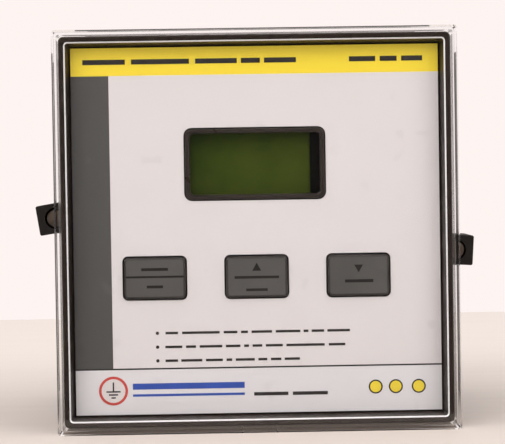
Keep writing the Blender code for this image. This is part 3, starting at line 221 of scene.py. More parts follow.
@dataclass(frozen=True)
class Finish:
    """What a surface is made of; a plain one has only a soft unevenness of tone."""

    name: str
    colour: str
    roughness: float
    metallic: float = 0.0
    ior: float = 1.5
    tone: float = 0.12
    flow_mm: float = 9.0

    def material(self) -> bpy.types.Material:
        """Material of this finish, made the first time it is asked for."""
        known = bpy.data.materials.get(self.name)
        if known:
            return known
        material = bpy.data.materials.new(self.name)
        material.diffuse_color = linear(self.colour)
        tree = bare_tree(material)
        shader = add_node(tree, "ShaderNodeBsdfPrincipled", {
            "Base Color": linear(self.colour), "Roughness": self.roughness,
            "Metallic": self.metallic})
        if not self.metallic:
            feed(shader, {"IOR": self.ior})
        add_node(tree, "ShaderNodeOutputMaterial", {"Surface": shader})
        self.pattern(tree, shader, add_node(tree, "ShaderNodeTexCoord").outputs["Object"])
        return material

    def flow(self, tree: NodeTree, point: Socket, detail: float = 3.0,
             distortion: float = 0.0) -> Node:
        """Slow pattern of the finish, as flow marks in a moulding or clouds in a plating."""
        return add_node(tree, "ShaderNodeTexNoise", {
            "Vector": point, "Scale": per_metre(self.flow_mm), "Detail": detail,
            "Distortion": distortion})

    def tones(self, tree: NodeTree, fac: Source) -> Socket:
        """Base colour that a pattern makes darker and lighter by the finish's share.

        Args:
            tree: the material's tree.
            fac: pattern between 0 and 1.

        Returns:
            Colour socket.
        """
        red, green, blue, _ = linear(self.colour)
        dark, light = 1 - self.tone, 1 + self.tone
        lightest = (min(red * light, 1), min(green * light, 1), min(blue * light, 1), 1)
        return painted(tree, (red * dark, green * dark, blue * dark, 1), [(fac, lightest)])

    def sheen(self, tree: NodeTree, fac: Source, spread: float) -> Node:
        """Roughness that a noise pattern moves to each side of the finish's own."""
        return add_node(tree, "ShaderNodeMapRange", {
            "Value": fac, "From Min": NOISE_SPAN[0], "From Max": NOISE_SPAN[1],
            "To Min": self.roughness - spread, "To Max": self.roughness + spread})

    def relief(self, tree: NodeTree, height: Source, depth_mm: float) -> Node:
        """Bump of a pattern between 0 and 1 that is this many millimetres deep."""
        return add_node(tree, "ShaderNodeBump", {
            "Height": height, "Distance": depth_mm * MM, "Strength": 1.0})

    def pattern(self, tree: NodeTree, shader: Node, point: Socket) -> None:
        """Give the surface its unevenness.

        Args:
            tree: the material's tree.
            shader: its Principled node.
            point: Object coordinates.
        """
        feed(shader, {"Base Color": self.tones(tree, self.flow(tree, point))})


@dataclass(frozen=True)
class MouldedPlastic(Finish):
    """Injection moulding: spark-eroded grain, slow flow marks and a little handling gloss."""

    grain_mm: float = 0.28
    grain_depth_mm: float = 0.012
    gloss_spread: float = 0.08

    def pattern(self, tree: NodeTree, shader: Node, point: Socket) -> None:
        """Grain as bump, flow as tone, handling as roughness."""
        flow = self.flow(tree, point, detail=4.0, distortion=0.4)
        grain = add_node(tree, "ShaderNodeTexNoise", {
            "Vector": point, "Scale": per_metre(self.grain_mm), "Detail": 2.0, "Roughness": 0.65})
        feed(shader, {
            "Base Color": self.tones(tree, flow),
            "Roughness": self.sheen(tree, flow, self.gloss_spread),
            "Normal": self.relief(tree, grain, self.grain_depth_mm)})


@dataclass(frozen=True)
class WorkedMetal(Finish):
    """Plated, turned or punched metal: tool lines along one axis under cloudy plating."""

    line_mm: float = 0.12
    line_stretch: float = 14.0
    line_axis: Axis = Axis.X
    line_depth_mm: float = 0.004
    gloss_spread: float = 0.1

    def pattern(self, tree: NodeTree, shader: Node, point: Socket) -> None:
        """Tool lines as bump, clouds as tone and roughness."""
        squeeze = [1.0, 1.0, 1.0]
        squeeze[self.line_axis.value] = 1 / self.line_stretch
        along = add_node(tree, "ShaderNodeMapping", {"Vector": point, "Scale": tuple(squeeze)})
        lines = add_node(tree, "ShaderNodeTexNoise", {
            "Vector": along, "Scale": per_metre(self.line_mm), "Detail": 2.0})
        clouds = self.flow(tree, point, detail=4.0)
        feed(shader, {
            "Base Color": self.tones(tree, clouds),
            "Roughness": self.sheen(tree, clouds, self.gloss_spread),
            "Normal": self.relief(tree, lines, self.line_depth_mm)})


@dataclass(frozen=True)
class BandedStack(Finish):
    """What is laid side by side, such as core sheets, wire turns or ribbon conductors."""

    pitch_mm: float = 0.5
    band_axis: Axis = Axis.Y
    # Colour of the grooves: dark joints between core sheets, painted shade between wire turns and
    # ribbon conductors.
    groove: str = "#1a1816"
    groove_depth_mm: float = 0.08
    groove_top: float = -0.2

    def pattern(self, tree: NodeTree, shader: Node, point: Socket) -> None:
        """Round bands with dark grooves between them: dark joints between core sheets, painted shade
        in the creases between wire turns and ribbon conductors.
        """
        parts = add_node(tree, "ShaderNodeSeparateXYZ", {0: point})
        turn = add_node(tree, "ShaderNodeMath", {
            0: parts.outputs[self.band_axis.value], 1: per_metre(self.pitch_mm) * math.tau},
            operation="MULTIPLY")
        wave = add_node(tree, "ShaderNodeMath", {0: turn}, operation="COSINE")
        height = add_node(tree, "ShaderNodeMapRange", {
            "Value": wave, "From Min": -1.0, "From Max": self.groove_top})
        bands = self.tones(tree, self.flow(tree, point))
        feed(shader, {"Base Color": painted(tree, linear(self.groove), [(height, bands)]),
                      "Normal": self.relief(tree, height, self.groove_depth_mm)})


@dataclass(frozen=True)
class CircuitLaminate(Finish):
    """Glass laminate under green mask: copper tracks show through as lighter lines."""

    track: str = "#2f7d4a"
    track_pitch_mm: float = 1.27
    track_width: float = 0.3
    net_mm: float = 7.0
    track_depth_mm: float = 0.035

    def pattern(self, tree: NodeTree, shader: Node, point: Socket) -> None:
        """Tracks from a square-edged cell pattern, raised under the mask."""
        nets = add_node(tree, "ShaderNodeTexVoronoi", {
            "Vector": point, "Scale": per_metre(self.net_mm), "Randomness": 0.8},
            distance="MANHATTAN", feature="F1")
        rings = add_node(tree, "ShaderNodeMath", {
            0: nets.outputs["Distance"], 1: self.net_mm / self.track_pitch_mm}, operation="MULTIPLY")
        step = add_node(tree, "ShaderNodeMath", {0: rings}, operation="FRACT")
        track = add_node(tree, "ShaderNodeMath", {0: step, 1: self.track_width},
                         operation="LESS_THAN")
        mask = self.tones(tree, self.flow(tree, point, detail=2.0))
        feed(shader, {"Base Color": painted(tree, mask, [(track, linear(self.track))]),
                      "Normal": self.relief(tree, track, self.track_depth_mm)})


@dataclass(frozen=True)
class PrintedSheet(Finish):
    """Back-printed plastic sheet: yellow band, grey strip, black line and a paler foot."""

    yellow: str = "#ffe22e"
    grey: str = "#4b4947"
    line: str = "#191614"
    foot: str = "#e2dfe0"
    band_mm: float = 6.9
    strip_mm: float = 9.3
    line_mm: float = 0.4
    foot_mm: float = 11.1
    texture_mm: float = 0.35
    texture_depth_mm: float = 0.006
    speck: str = "#efebe6"
    speck_pitch_mm: float = 11.0
    speck_share: float = 0.012
    smudge: str = "#8a8480"
    smudge_mm: float = 5.0
    smudge_span: tuple[float, float] = (0.69, 0.76)
    smudge_level: float = 0.09

    def dust(self, tree: NodeTree, point: Socket, ground: Socket) -> Socket:
        """Faint grey smudges and a few pale specks of dust over the print.

        Args:
            tree: the material's tree.
            point: Object coordinates.
            ground: colour of the print.

        Returns:
            Colour socket of the print with its dust.
        """
        grey = patches(tree, point, self.smudge_mm, 1.0, self.smudge_span, (0.0, self.smudge_level))
        specks = add_node(tree, "ShaderNodeTexVoronoi", {
            "Vector": point, "Scale": per_metre(self.speck_pitch_mm)}, feature="F1")
        speck = add_node(tree, "ShaderNodeMath", {
            0: specks.outputs["Distance"], 1: self.speck_share}, operation="LESS_THAN")
        return painted(tree, ground, ((grey, linear(self.smudge)), (speck, linear(self.speck))))

    def pattern(self, tree: NodeTree, shader: Node, point: Socket) -> None:
        """Fields by height and place across the sheet, under its dust and fine texture."""
        low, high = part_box("front_label")
        parts = add_node(tree, "ShaderNodeSeparateXYZ", {0: point})
        across, up = parts.outputs["X"], parts.outputs["Z"]
        line_low = low.z + self.foot_mm * MM
        fields = (
            (across, "LESS_THAN", low.x + self.strip_mm * MM, self.grey),
            (up, "LESS_THAN", line_low + self.line_mm * MM, self.line),
            (up, "LESS_THAN", line_low, self.foot),
            (up, "GREATER_THAN", high.z - self.band_mm * MM, self.yellow),
        )
        inks = [
            (add_node(tree, "ShaderNodeMath", {0: place, 1: border}, operation=side), linear(code))
            for place, side, border, code in fields]
        ground = painted(tree, self.tones(tree, self.flow(tree, point)), inks)
        texture = add_node(tree, "ShaderNodeTexNoise", {
            "Vector": point, "Scale": per_metre(self.texture_mm), "Detail": 2.0})
        feed(shader, {"Base Color": self.dust(tree, point, ground),
                      "Normal": self.relief(tree, texture, self.texture_depth_mm)})


@dataclass(frozen=True)
class DisplayGlass(Finish):
    """Green liquid crystal cell behind glass: cloudy filler, painted shade to the upper left."""

    # Painted shade: colour at the lighter lower right end, and how much each axis adds towards it.
    bright: str = "#4a531d"
    cloud_mm: float = 7.0
    cloud_share: float = 0.18
    rise_across: float = 0.5
    rise_down: float = 0.35

    def pattern(self, tree: NodeTree, shader: Node, point: Socket) -> None:
        """Painted shade as a slow change over the window, lighter to the lower right, under soft
        clouds.
        """
        low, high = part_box("lcd_glass")
        parts = add_node(tree, "ShaderNodeSeparateXYZ", {0: point})
        right, down = [
            add_node(tree, "ShaderNodeMapRange", {
                "Value": parts.outputs[axis], "From Min": start, "From Max": end,
                "To Min": 0.0, "To Max": rise})
            for axis, start, end, rise in (("X", low.x, high.x, self.rise_across),
                                           ("Z", high.z, low.z, self.rise_down))]
        painted_shade_ramp = add_node(tree, "ShaderNodeMath", {0: right, 1: down}, operation="ADD")
        clouds = patches(tree, point, self.cloud_mm, 3.0, NOISE_SPAN,
                         (-self.cloud_share, self.cloud_share), roughness=0.55)
        mixed = add_node(tree, "ShaderNodeMath", {0: painted_shade_ramp, 1: clouds}, operation="ADD",
                         use_clamp=True)
        colour = painted(tree, linear(self.colour), [(mixed, linear(self.bright))])
        feed(shader, {"Base Color": colour})


@dataclass(frozen=True)
class ClearPlastic(Finish):
    """Polished clear moulding with hairline scratches and the haze of handling."""

    scratch_mm: float = 0.5
    scratch_turn_deg: float = 34.0
    scratch_stretch: float = 0.02
    scratch_span: tuple[float, float] = (0.72, 0.78)
    scratch_roughness: float = 0.05
    haze_mm: float = 14.0
    haze_span: tuple[float, float] = (0.5, 0.8)
    haze_roughness: float = 0.03
    film: str = "#e2e2e2"

    def let_lamps_through(self, tree: NodeTree, shader: Node) -> None:
        """Give the lamps a straight way through the wall; the eye still meets the clear plastic.

        Args:
            tree: the material's tree.
            shader: its Principled node.
        """
        film = add_node(tree, "ShaderNodeBsdfTransparent", {"Color": linear(self.film)})
        path = add_node(tree, "ShaderNodeLightPath")
        both = add_node(tree, "ShaderNodeMixShader", {
            0: path.outputs["Is Shadow Ray"], 1: shader, 2: film})
        shown = next(node for node in tree.nodes if node.type == "OUTPUT_MATERIAL")
        feed(shown, {"Surface": both})

    def pattern(self, tree: NodeTree, shader: Node, point: Socket) -> None:
        """Light passes; haze and hairlines show as roughness only."""
        self.let_lamps_through(tree, shader)
        turned = add_node(tree, "ShaderNodeMapping", {
            "Vector": point, "Rotation": (0.0, math.radians(self.scratch_turn_deg), 0.0),
            "Scale": (1.0, 1.0, self.scratch_stretch)})
        haze = patches(tree, point, self.haze_mm, 4.0, self.haze_span,
                       (self.roughness, self.roughness + self.haze_roughness))
        hairs = patches(tree, turned, self.scratch_mm, 1.0, self.scratch_span,
                        (0.0, self.scratch_roughness))
        total = add_node(tree, "ShaderNodeMath", {0: haze, 1: hairs}, operation="ADD")
        feed(shader, {"Transmission Weight": 1.0, "Roughness": total})


# Satin ABS of the bezel: near black with a warm cast and a fine eroded grain. Its IOR, and that of
# nylon, display frame and key print, is set low, because the photo shows their sheen faintly.
BLACK_ABS = MouldedPlastic("satin_black_abs", "#241a13", 0.38, ior=1.32)
# Case moulding behind the panel: the same ABS with a coarser, duller grain.
CASE_ABS = MouldedPlastic("grained_black_abs", "#221d19", 0.5, ior=1.53, grain_mm=0.45,
                          grain_depth_mm=0.03)
# Glass-filled nylon of clamps and terminal strips: dull, warm grey-black, visibly grained.
BLACK_NYLON = MouldedPlastic("grained_black_nylon", "#1b1612", 0.62, ior=1.32, grain_mm=0.5,
                             grain_depth_mm=0.045, tone=0.22)
# Painted highlight: a thin near-white line on the inner edge of the rim, for the highlight its
# chamfer catches.
RIM_HIGHLIGHT_PAINT = WorkedMetal("painted_rim_highlight", "#fbf9f9", 0.32, metallic=0.15, line_mm=0.3,
                           line_depth_mm=0.002, tone=0.05)
# Back-printed polycarbonate sheet: flat print colours under an even satin skin.
PRINTED_LABEL = PrintedSheet("printed_polycarbonate_sheet", "#e2dcdb", 0.42, ior=1.585, tone=0.02)
# Glossy brown-black frame round the display.
FRAME_ABS = MouldedPlastic("gloss_display_frame", "#2a221c", 0.34, ior=1.42, grain_depth_mm=0.004)
# Blackened sheet steel round the display cell.
BLACKENED_STEEL = WorkedMetal("blackened_sheet_steel", "#15130f", 0.4, metallic=0.8)
# Liquid crystal cell: dark olive green under bare glass, with painted shade over it.
DISPLAY_CELL = DisplayGlass("liquid_crystal_cell", "#2f3f10", 0.12, ior=1.52)
# Milky diffuser behind the cell.
DIFFUSER = Finish("milky_diffuser", "#dcdcd0", 0.5, ior=1.49, tone=0.04)
# Keycaps: mid grey satin ABS.
KEY_ABS = MouldedPlastic("satin_grey_keycap_abs", "#504d4a", 0.42, ior=1.53, grain_depth_mm=0.008,
                         tone=0.06)
# Skirt of the keycaps, dark up to the edge of the face: painted shade for the gap round each key.
KEY_BORDER_SHADE = MouldedPlastic("key_border_painted_shade", "#2a2522", 0.4, ior=1.53)
# Bodies of the push-button switches.
SWITCH_BODY = MouldedPlastic("switch_body_pbt", "#1a1a1a", 0.5)
# Plungers of the push-button switches.
SWITCH_PLUNGER = MouldedPlastic("switch_plunger_pom", "#c9c6bf", 0.45, ior=1.48)
# Circuit boards: green mask over glass laminate.
LAMINATE = CircuitLaminate("green_masked_laminate", "#1d5a34", 0.35)
# Epoxy body of the microcontroller with tinned legs.
CHIP_EPOXY = MouldedPlastic("chip_epoxy", "#1b1b1c", 0.55, grain_mm=0.12)
# Ribbon plugs.
PLUG_PLASTIC = MouldedPlastic("plug_pbt", "#1c1c1c", 0.5)
# Ribbon cable: grey conductors side by side at 1.27 mm, with painted shade in the grooves between
# them.
RIBBON = BandedStack("grey_ribbon_pvc", "#9a9a97", 0.5, pitch_mm=1.27, band_axis=Axis.X,
                     groove="#77776f", groove_depth_mm=0.3)
# Transformer core: half-millimetre sheets, varnished.
CORE_SHEETS = BandedStack("varnished_core_sheets", "#5c5a57", 0.45, metallic=0.9, pitch_mm=0.5,
                          band_axis=Axis.Y)
# Bobbin of natural nylon.
BOBBIN_NYLON = MouldedPlastic("natural_bobbin_nylon", "#d8d3c4", 0.5)
# Enamelled winding: copper-brown turns of 0.4 mm wire, with painted shade in the grooves between
# them.
WINDING = BandedStack("enamelled_copper_turns", "#8a3f1c", 0.3, metallic=0.6, pitch_mm=0.4,
                      band_axis=Axis.Z, groove="#3a1608")
# Cases of the output relays: blue moulding.
RELAY_BLUE = MouldedPlastic("blue_relay_pbt", "#1d4f92", 0.4, ior=1.53)
# Shrunk sleeve of the capacitor.
CAPACITOR_SLEEVE = MouldedPlastic("capacitor_sleeve_pvc", "#1a2436", 0.3)
# Zinc-plated steel screws: pale, slightly blue-grey, cloudy plating.
ZINC_STEEL = WorkedMetal("zinc_plated_steel", "#b9b6ad", 0.3, metallic=1.0, flow_mm=1.5)
# Jack screws: steel dulled to brown-grey.
DULL_STEEL = WorkedMetal("dulled_screw_steel", "#655a50", 0.38, metallic=1.0, flow_mm=2.0, tone=0.3)
# Terminal plates: punched brass, slightly tarnished.
BRASS = WorkedMetal("punched_brass", "#c7a355", 0.28, metallic=1.0, flow_mm=3.0)
# Black printing ink of the face: dense and slightly glossy.
BLACK_INK = Finish("black_screen_ink", "#231e1b", 0.45)
# Ink of the sheet's own white, over the red of the earth sign.
SHEET_INK = Finish("white_screen_ink", "#e0d8d6", 0.45, tone=0.03)
# Dull dark print on the keycaps.
SHADOW_INK = Finish("dark_grey_key_ink", "#1d1917", 0.6, ior=1.35)
# Blue ink of the two rules in the foot.
BLUE_INK = Finish("blue_screen_ink", "#2c4ea8", 0.45)
# Red ink of the ring round the earth sign.
RED_INK = Finish("red_screen_ink", "#c8453c", 0.45)
# Yellow ink of the three dots in the foot.
YELLOW_INK = Finish("yellow_screen_ink", "#f0d53c", 0.45)
# White pad print of the terminals' numbers.
WHITE_INK = Finish("white_pad_ink", "#d9d4cc", 0.5)
# Clear acrylic cover. Its IOR is under the 1.49 of acrylic, because the photo shows the thick wall
# edges more faintly.
CLEAR_COVER = ClearPlastic("clear_polished_acrylic", "#fdfdfd", 0.0, ior=1.36)

FINISH_OF_SLOT: dict[str, Finish] = {
    "clear_cover": CLEAR_COVER, "black_abs": BLACK_ABS, "black_nylon": BLACK_NYLON,
    "label": PRINTED_LABEL, "display_black": FRAME_ABS, "lcd_steel": BLACKENED_STEEL,
    "lcd_green": DISPLAY_CELL, "diffuser": DIFFUSER, "key_grey": KEY_ABS, "switch_body": SWITCH_BODY,
    "switch_plunger": SWITCH_PLUNGER, "board": LAMINATE, "chip": CHIP_EPOXY,
    "plug_black": PLUG_PLASTIC, "ribbon": RIBBON, "core_steel": CORE_SHEETS,
    "bobbin": BOBBIN_NYLON, "copper": WINDING, "relay_blue": RELAY_BLUE,
    "capacitor": CAPACITOR_SLEEVE, "zinc_steel": ZINC_STEEL, "jack_steel": DULL_STEEL,
    "brass": BRASS,
}


def linked(name: str, data: bpy.types.ID) -> Object:
    """Put a new object with this data into the scene."""
    thing = bpy.data.objects.new(name, data)
    bpy.context.scene.collection.objects.link(thing)
    return thing


def plain_piece(carrier: Object, name: str) -> Object:
    """Turn an object and its modifiers into a piece with a plain mesh.

    Args:
        carrier: object with live modifiers; it is removed.
        name: name of the piece.

    Returns:
        The piece, at the origin.
    """
    bpy.context.view_layer.update()
    graph = bpy.context.evaluated_depsgraph_get()
    mesh = bpy.data.meshes.new_from_object(carrier.evaluated_get(graph), depsgraph=graph)
    bpy.data.objects.remove(carrier)
    mesh.name = name
    return linked(name, mesh)


def from_bmesh(mesh: bmesh.types.BMesh, name: str) -> Object:
    """Put a finished bmesh into a new linked object."""
    data = bpy.data.meshes.new(name)
    mesh.to_mesh(data)
    mesh.free()
    return linked(name, data)


def rounded(piece: Object, edge_mm: float, segments: int = 2) -> bpy.types.Modifier:
    """Add a live rounding of the sharp edges to a piece.

    Args:
        piece: object that gets it.
        edge_mm: width of the rounding.
        segments: its steps.

    Returns:
        The modifier.
    """
    rounding = piece.modifiers.new("soft_edges", "BEVEL")
    rounding.width = edge_mm * MM
    rounding.segments = segments
    rounding.limit_method = "ANGLE"
    rounding.angle_limit = EDGE_ANGLE
    return rounding


def shaded(piece: Object) -> Object:
    """Shade round stretches smooth and keep flats flat.

    Args:
        piece: object with a plain mesh.

    Returns:
        The piece with its normals weighted by face area.
    """
    piece.data.shade_smooth()
    piece.data.set_sharp_from_angle(angle=CREASE_ANGLE)
    even = piece.modifiers.new("even_shading", "WEIGHTED_NORMAL")
    even.keep_sharp = True
    return plain_piece(piece, piece.name)


def softened(node: str, edge_mm: float, name: str, segments: int = 2,
             mark: Callable[[bmesh.types.BMesh], None] | None = None) -> Object:
    """Copy a CAD node and round its sharp edges as a mould or a tool leaves them.

    Args:
        node: name of the CAD node.
        edge_mm: width of the rounding.
        name: name of the new piece.
        segments: steps of the rounding.
        mark: changes the merged copy before its edges are rounded, such as the finish of some faces.

    Returns:
        The new piece.
    """
    mesh = bmesh.new()
    mesh.from_mesh(frame["nodes"][node].data)
    bmesh.ops.remove_doubles(mesh, verts=mesh.verts, dist=WELD)
    bmesh.ops.dissolve_limit(mesh, angle_limit=FLAT_ANGLE, verts=mesh.verts, edges=mesh.edges)
    for face in mesh.faces:
        face.material_index = 0
    if mark:
        mark(mesh)
    piece = from_bmesh(mesh, name)
    rounded(piece, edge_mm, segments).miter_outer = "MITER_ARC"
    return shaded(plain_piece(piece, name))


def settle(piece: Object, body: Body, finishes: Sequence[Finish],
           nodes: Iterable[str] = ()) -> None:
    """Dress a piece, let it ride on its body and hide the CAD nodes that it replaces.

    Args:
        piece: finished mesh object.
        body: body that carries it.
        finishes: its finishes, in the order of its material numbers.
        nodes: CAD nodes that it replaces.
    """
    slots = piece.data.materials
    for number, finish in enumerate(finishes):
        if number < len(slots):
            slots[number] = finish.material()
        else:
            slots.append(finish.material())
    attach(piece, body.value)
    nodes = tuple(nodes)
    if nodes:
        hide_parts(*nodes)
    LOG.info("%s: %d faces on %s", piece.name, len(piece.data.polygons), body.value)


def size_tree(name: str, sizes: Iterable[str]) -> tuple[NodeTree, Node]:
    """Start a geometry tree with one named input for each size and one for its finish.

    Args:
        name: name of the tree.
        sizes: names of its sizes, all in metres or plain numbers.

    Returns:
        The tree and its group input node.
    """
    tree = bpy.data.node_groups.new(name, "GeometryNodeTree")
    tree.interface.new_socket("Places", in_out="INPUT", socket_type="NodeSocketGeometry")
    for label in sizes:
        tree.interface.new_socket(label, in_out="INPUT", socket_type="NodeSocketFloat")
    tree.interface.new_socket("Finish", in_out="INPUT", socket_type="NodeSocketMaterial")
    tree.interface.new_socket("Geometry", in_out="OUTPUT", socket_type="NodeSocketGeometry")
    return tree, add_node(tree, "NodeGroupInput")


def sizes_of(assembly: Any) -> dict[str, float]:
    """Sizes of an assembly in metres: its field slot_width_mm is the tree's input Slot width."""
    return {name.removesuffix("_mm").replace("_", " ").capitalize(): value * MM
            for name, value in vars(assembly).items() if name.endswith("_mm")}


def end_tree(tree: NodeTree, given: Node, shape: Node,
             scale: Node | tuple[float, float, float] = (1.0, 1.0, 1.0)) -> NodeTree:
    """End a geometry tree: its shape on each place, as real meshes with their finish.

    Args:
        tree: geometry tree.
        given: its group input node.
        shape: node that gives the shape.
        scale: scale of the shape on its places.

    Returns:
        The tree.
    """
    put = add_node(tree, "GeometryNodeInstanceOnPoints", {
        "Points": given.outputs["Places"], "Instance": shape, "Scale": scale})
    real = add_node(tree, "GeometryNodeRealizeInstances", {0: put})
    dressed = add_node(tree, "GeometryNodeSetMaterial", {
        "Geometry": real, "Material": given.outputs["Finish"]})
    add_node(tree, "NodeGroupOutput", {0: dressed})
    return tree


def block(tree: NodeTree, width: Source, depth: Source, height: Source) -> Node:
    """Square block round the origin, along X, Y and Z."""
    size = add_node(tree, "ShaderNodeCombineXYZ", {"X": width, "Y": depth, "Z": height})
    return add_node(tree, "GeometryNodeMeshCube", {"Size": size})


def moved(tree: NodeTree, shape: Node, **way: Source) -> Node:
    """Move a shape along the axes that are named."""
    offset = add_node(tree, "ShaderNodeCombineXYZ", way)
    return add_node(tree, "GeometryNodeTransform", {"Geometry": shape, "Translation": offset})


def slotted_head(tree: NodeTree, out: Any, vertices: int, seat: Socket) -> Node:
    """Round screw head along Z with a slot across its top.

    Args:
        tree: geometry tree with the inputs Head radius, Head height, Slot width and Slot depth.
        out: outputs of its group input node.
        vertices: number of corners of the round head.
        seat: height that the head stands at.

    Returns:
        The node that gives the head.
    """
    head = add_node(tree, "GeometryNodeMeshCylinder", {
        "Vertices": vertices, "Radius": out["Head radius"], "Depth": out["Head height"]})
    length = add_node(tree, "ShaderNodeMath", {0: out["Head radius"], 1: 3.0}, operation="MULTIPLY")
    tall = add_node(tree, "ShaderNodeMath", {0: out["Slot depth"], 1: 2.0}, operation="MULTIPLY")
    half = add_node(tree, "ShaderNodeMath", {0: out["Head height"], 1: 0.5}, operation="MULTIPLY")
    slot = moved(tree, block(tree, length, out["Slot width"], tall), Z=half)
    cut = add_node(tree, "GeometryNodeMeshBoolean", {"Mesh 1": head, "Mesh 2": slot}, solver="EXACT")
    rise = add_node(tree, "ShaderNodeMath", {0: half, 1: seat}, operation="ADD")
    return moved(tree, cut, Z=rise)


def grown(tree: NodeTree, name: str, sizes: dict[str, float], finish: Finish,
          places: Sequence[Vector], widths: Sequence[float] = (), edge_mm: float = 0.0) -> Object:
    """Run a geometry tree and keep its result as a plain piece.

    Args:
        tree: geometry tree.
        name: name of the piece.
        sizes: value of each of its named inputs.
        finish: finish that the tree sets.
        places: points that the tree puts its shape on.
        widths: a width for each place, read in the tree as the attribute "width".
        edge_mm: width of a rounding of the sharp edges, or 0 for none.

    Returns:
        The piece.
    """
    mesh = bpy.data.meshes.new(name)
    mesh.from_pydata([tuple(place) for place in places], [], [])
    if widths:
        attribute = mesh.attributes.new("width", "FLOAT", "POINT")
        attribute.data.foreach_set("value", list(widths))
    carrier = linked(name, mesh)
    growth = carrier.modifiers.new("growth", "NODES")
    growth.node_group = tree
    values: dict[str, Any] = {**sizes, "Finish": finish.material()}
    for item in tree.interface.items_tree:
        if item.item_type == "SOCKET" and item.in_out == "INPUT" and item.name in values:
            growth[item.identifier] = values[item.name]
    if edge_mm:
        rounded(carrier, edge_mm)
    return shaded(plain_piece(carrier, name))


def dress_frame() -> None:
    """Give every CAD node the finish of its material slot."""
    for part in frame["record"]["subparts"]:
        node = frame["nodes"][part["node"]]
        material = FINISH_OF_SLOT[part["material_slot"]].material()
        if not node.material_slots:
            node.data.materials.append(material)
        for place in node.material_slots:
            place.material = material
    LOG.info("%d nodes dressed", len(frame["nodes"]))


@dataclass
class ClearCover:
    """Clear push-on cover with a snap tongue in its lower wall."""

    edge_mm: float = 0.05

    def build(self) -> None:
        """Round its edges and make it clear."""
        piece = softened("transparent_cover", self.edge_mm, "clear_cover", segments=3)
        settle(piece, Body.COVER, (CLEAR_COVER,), ("transparent_cover",))


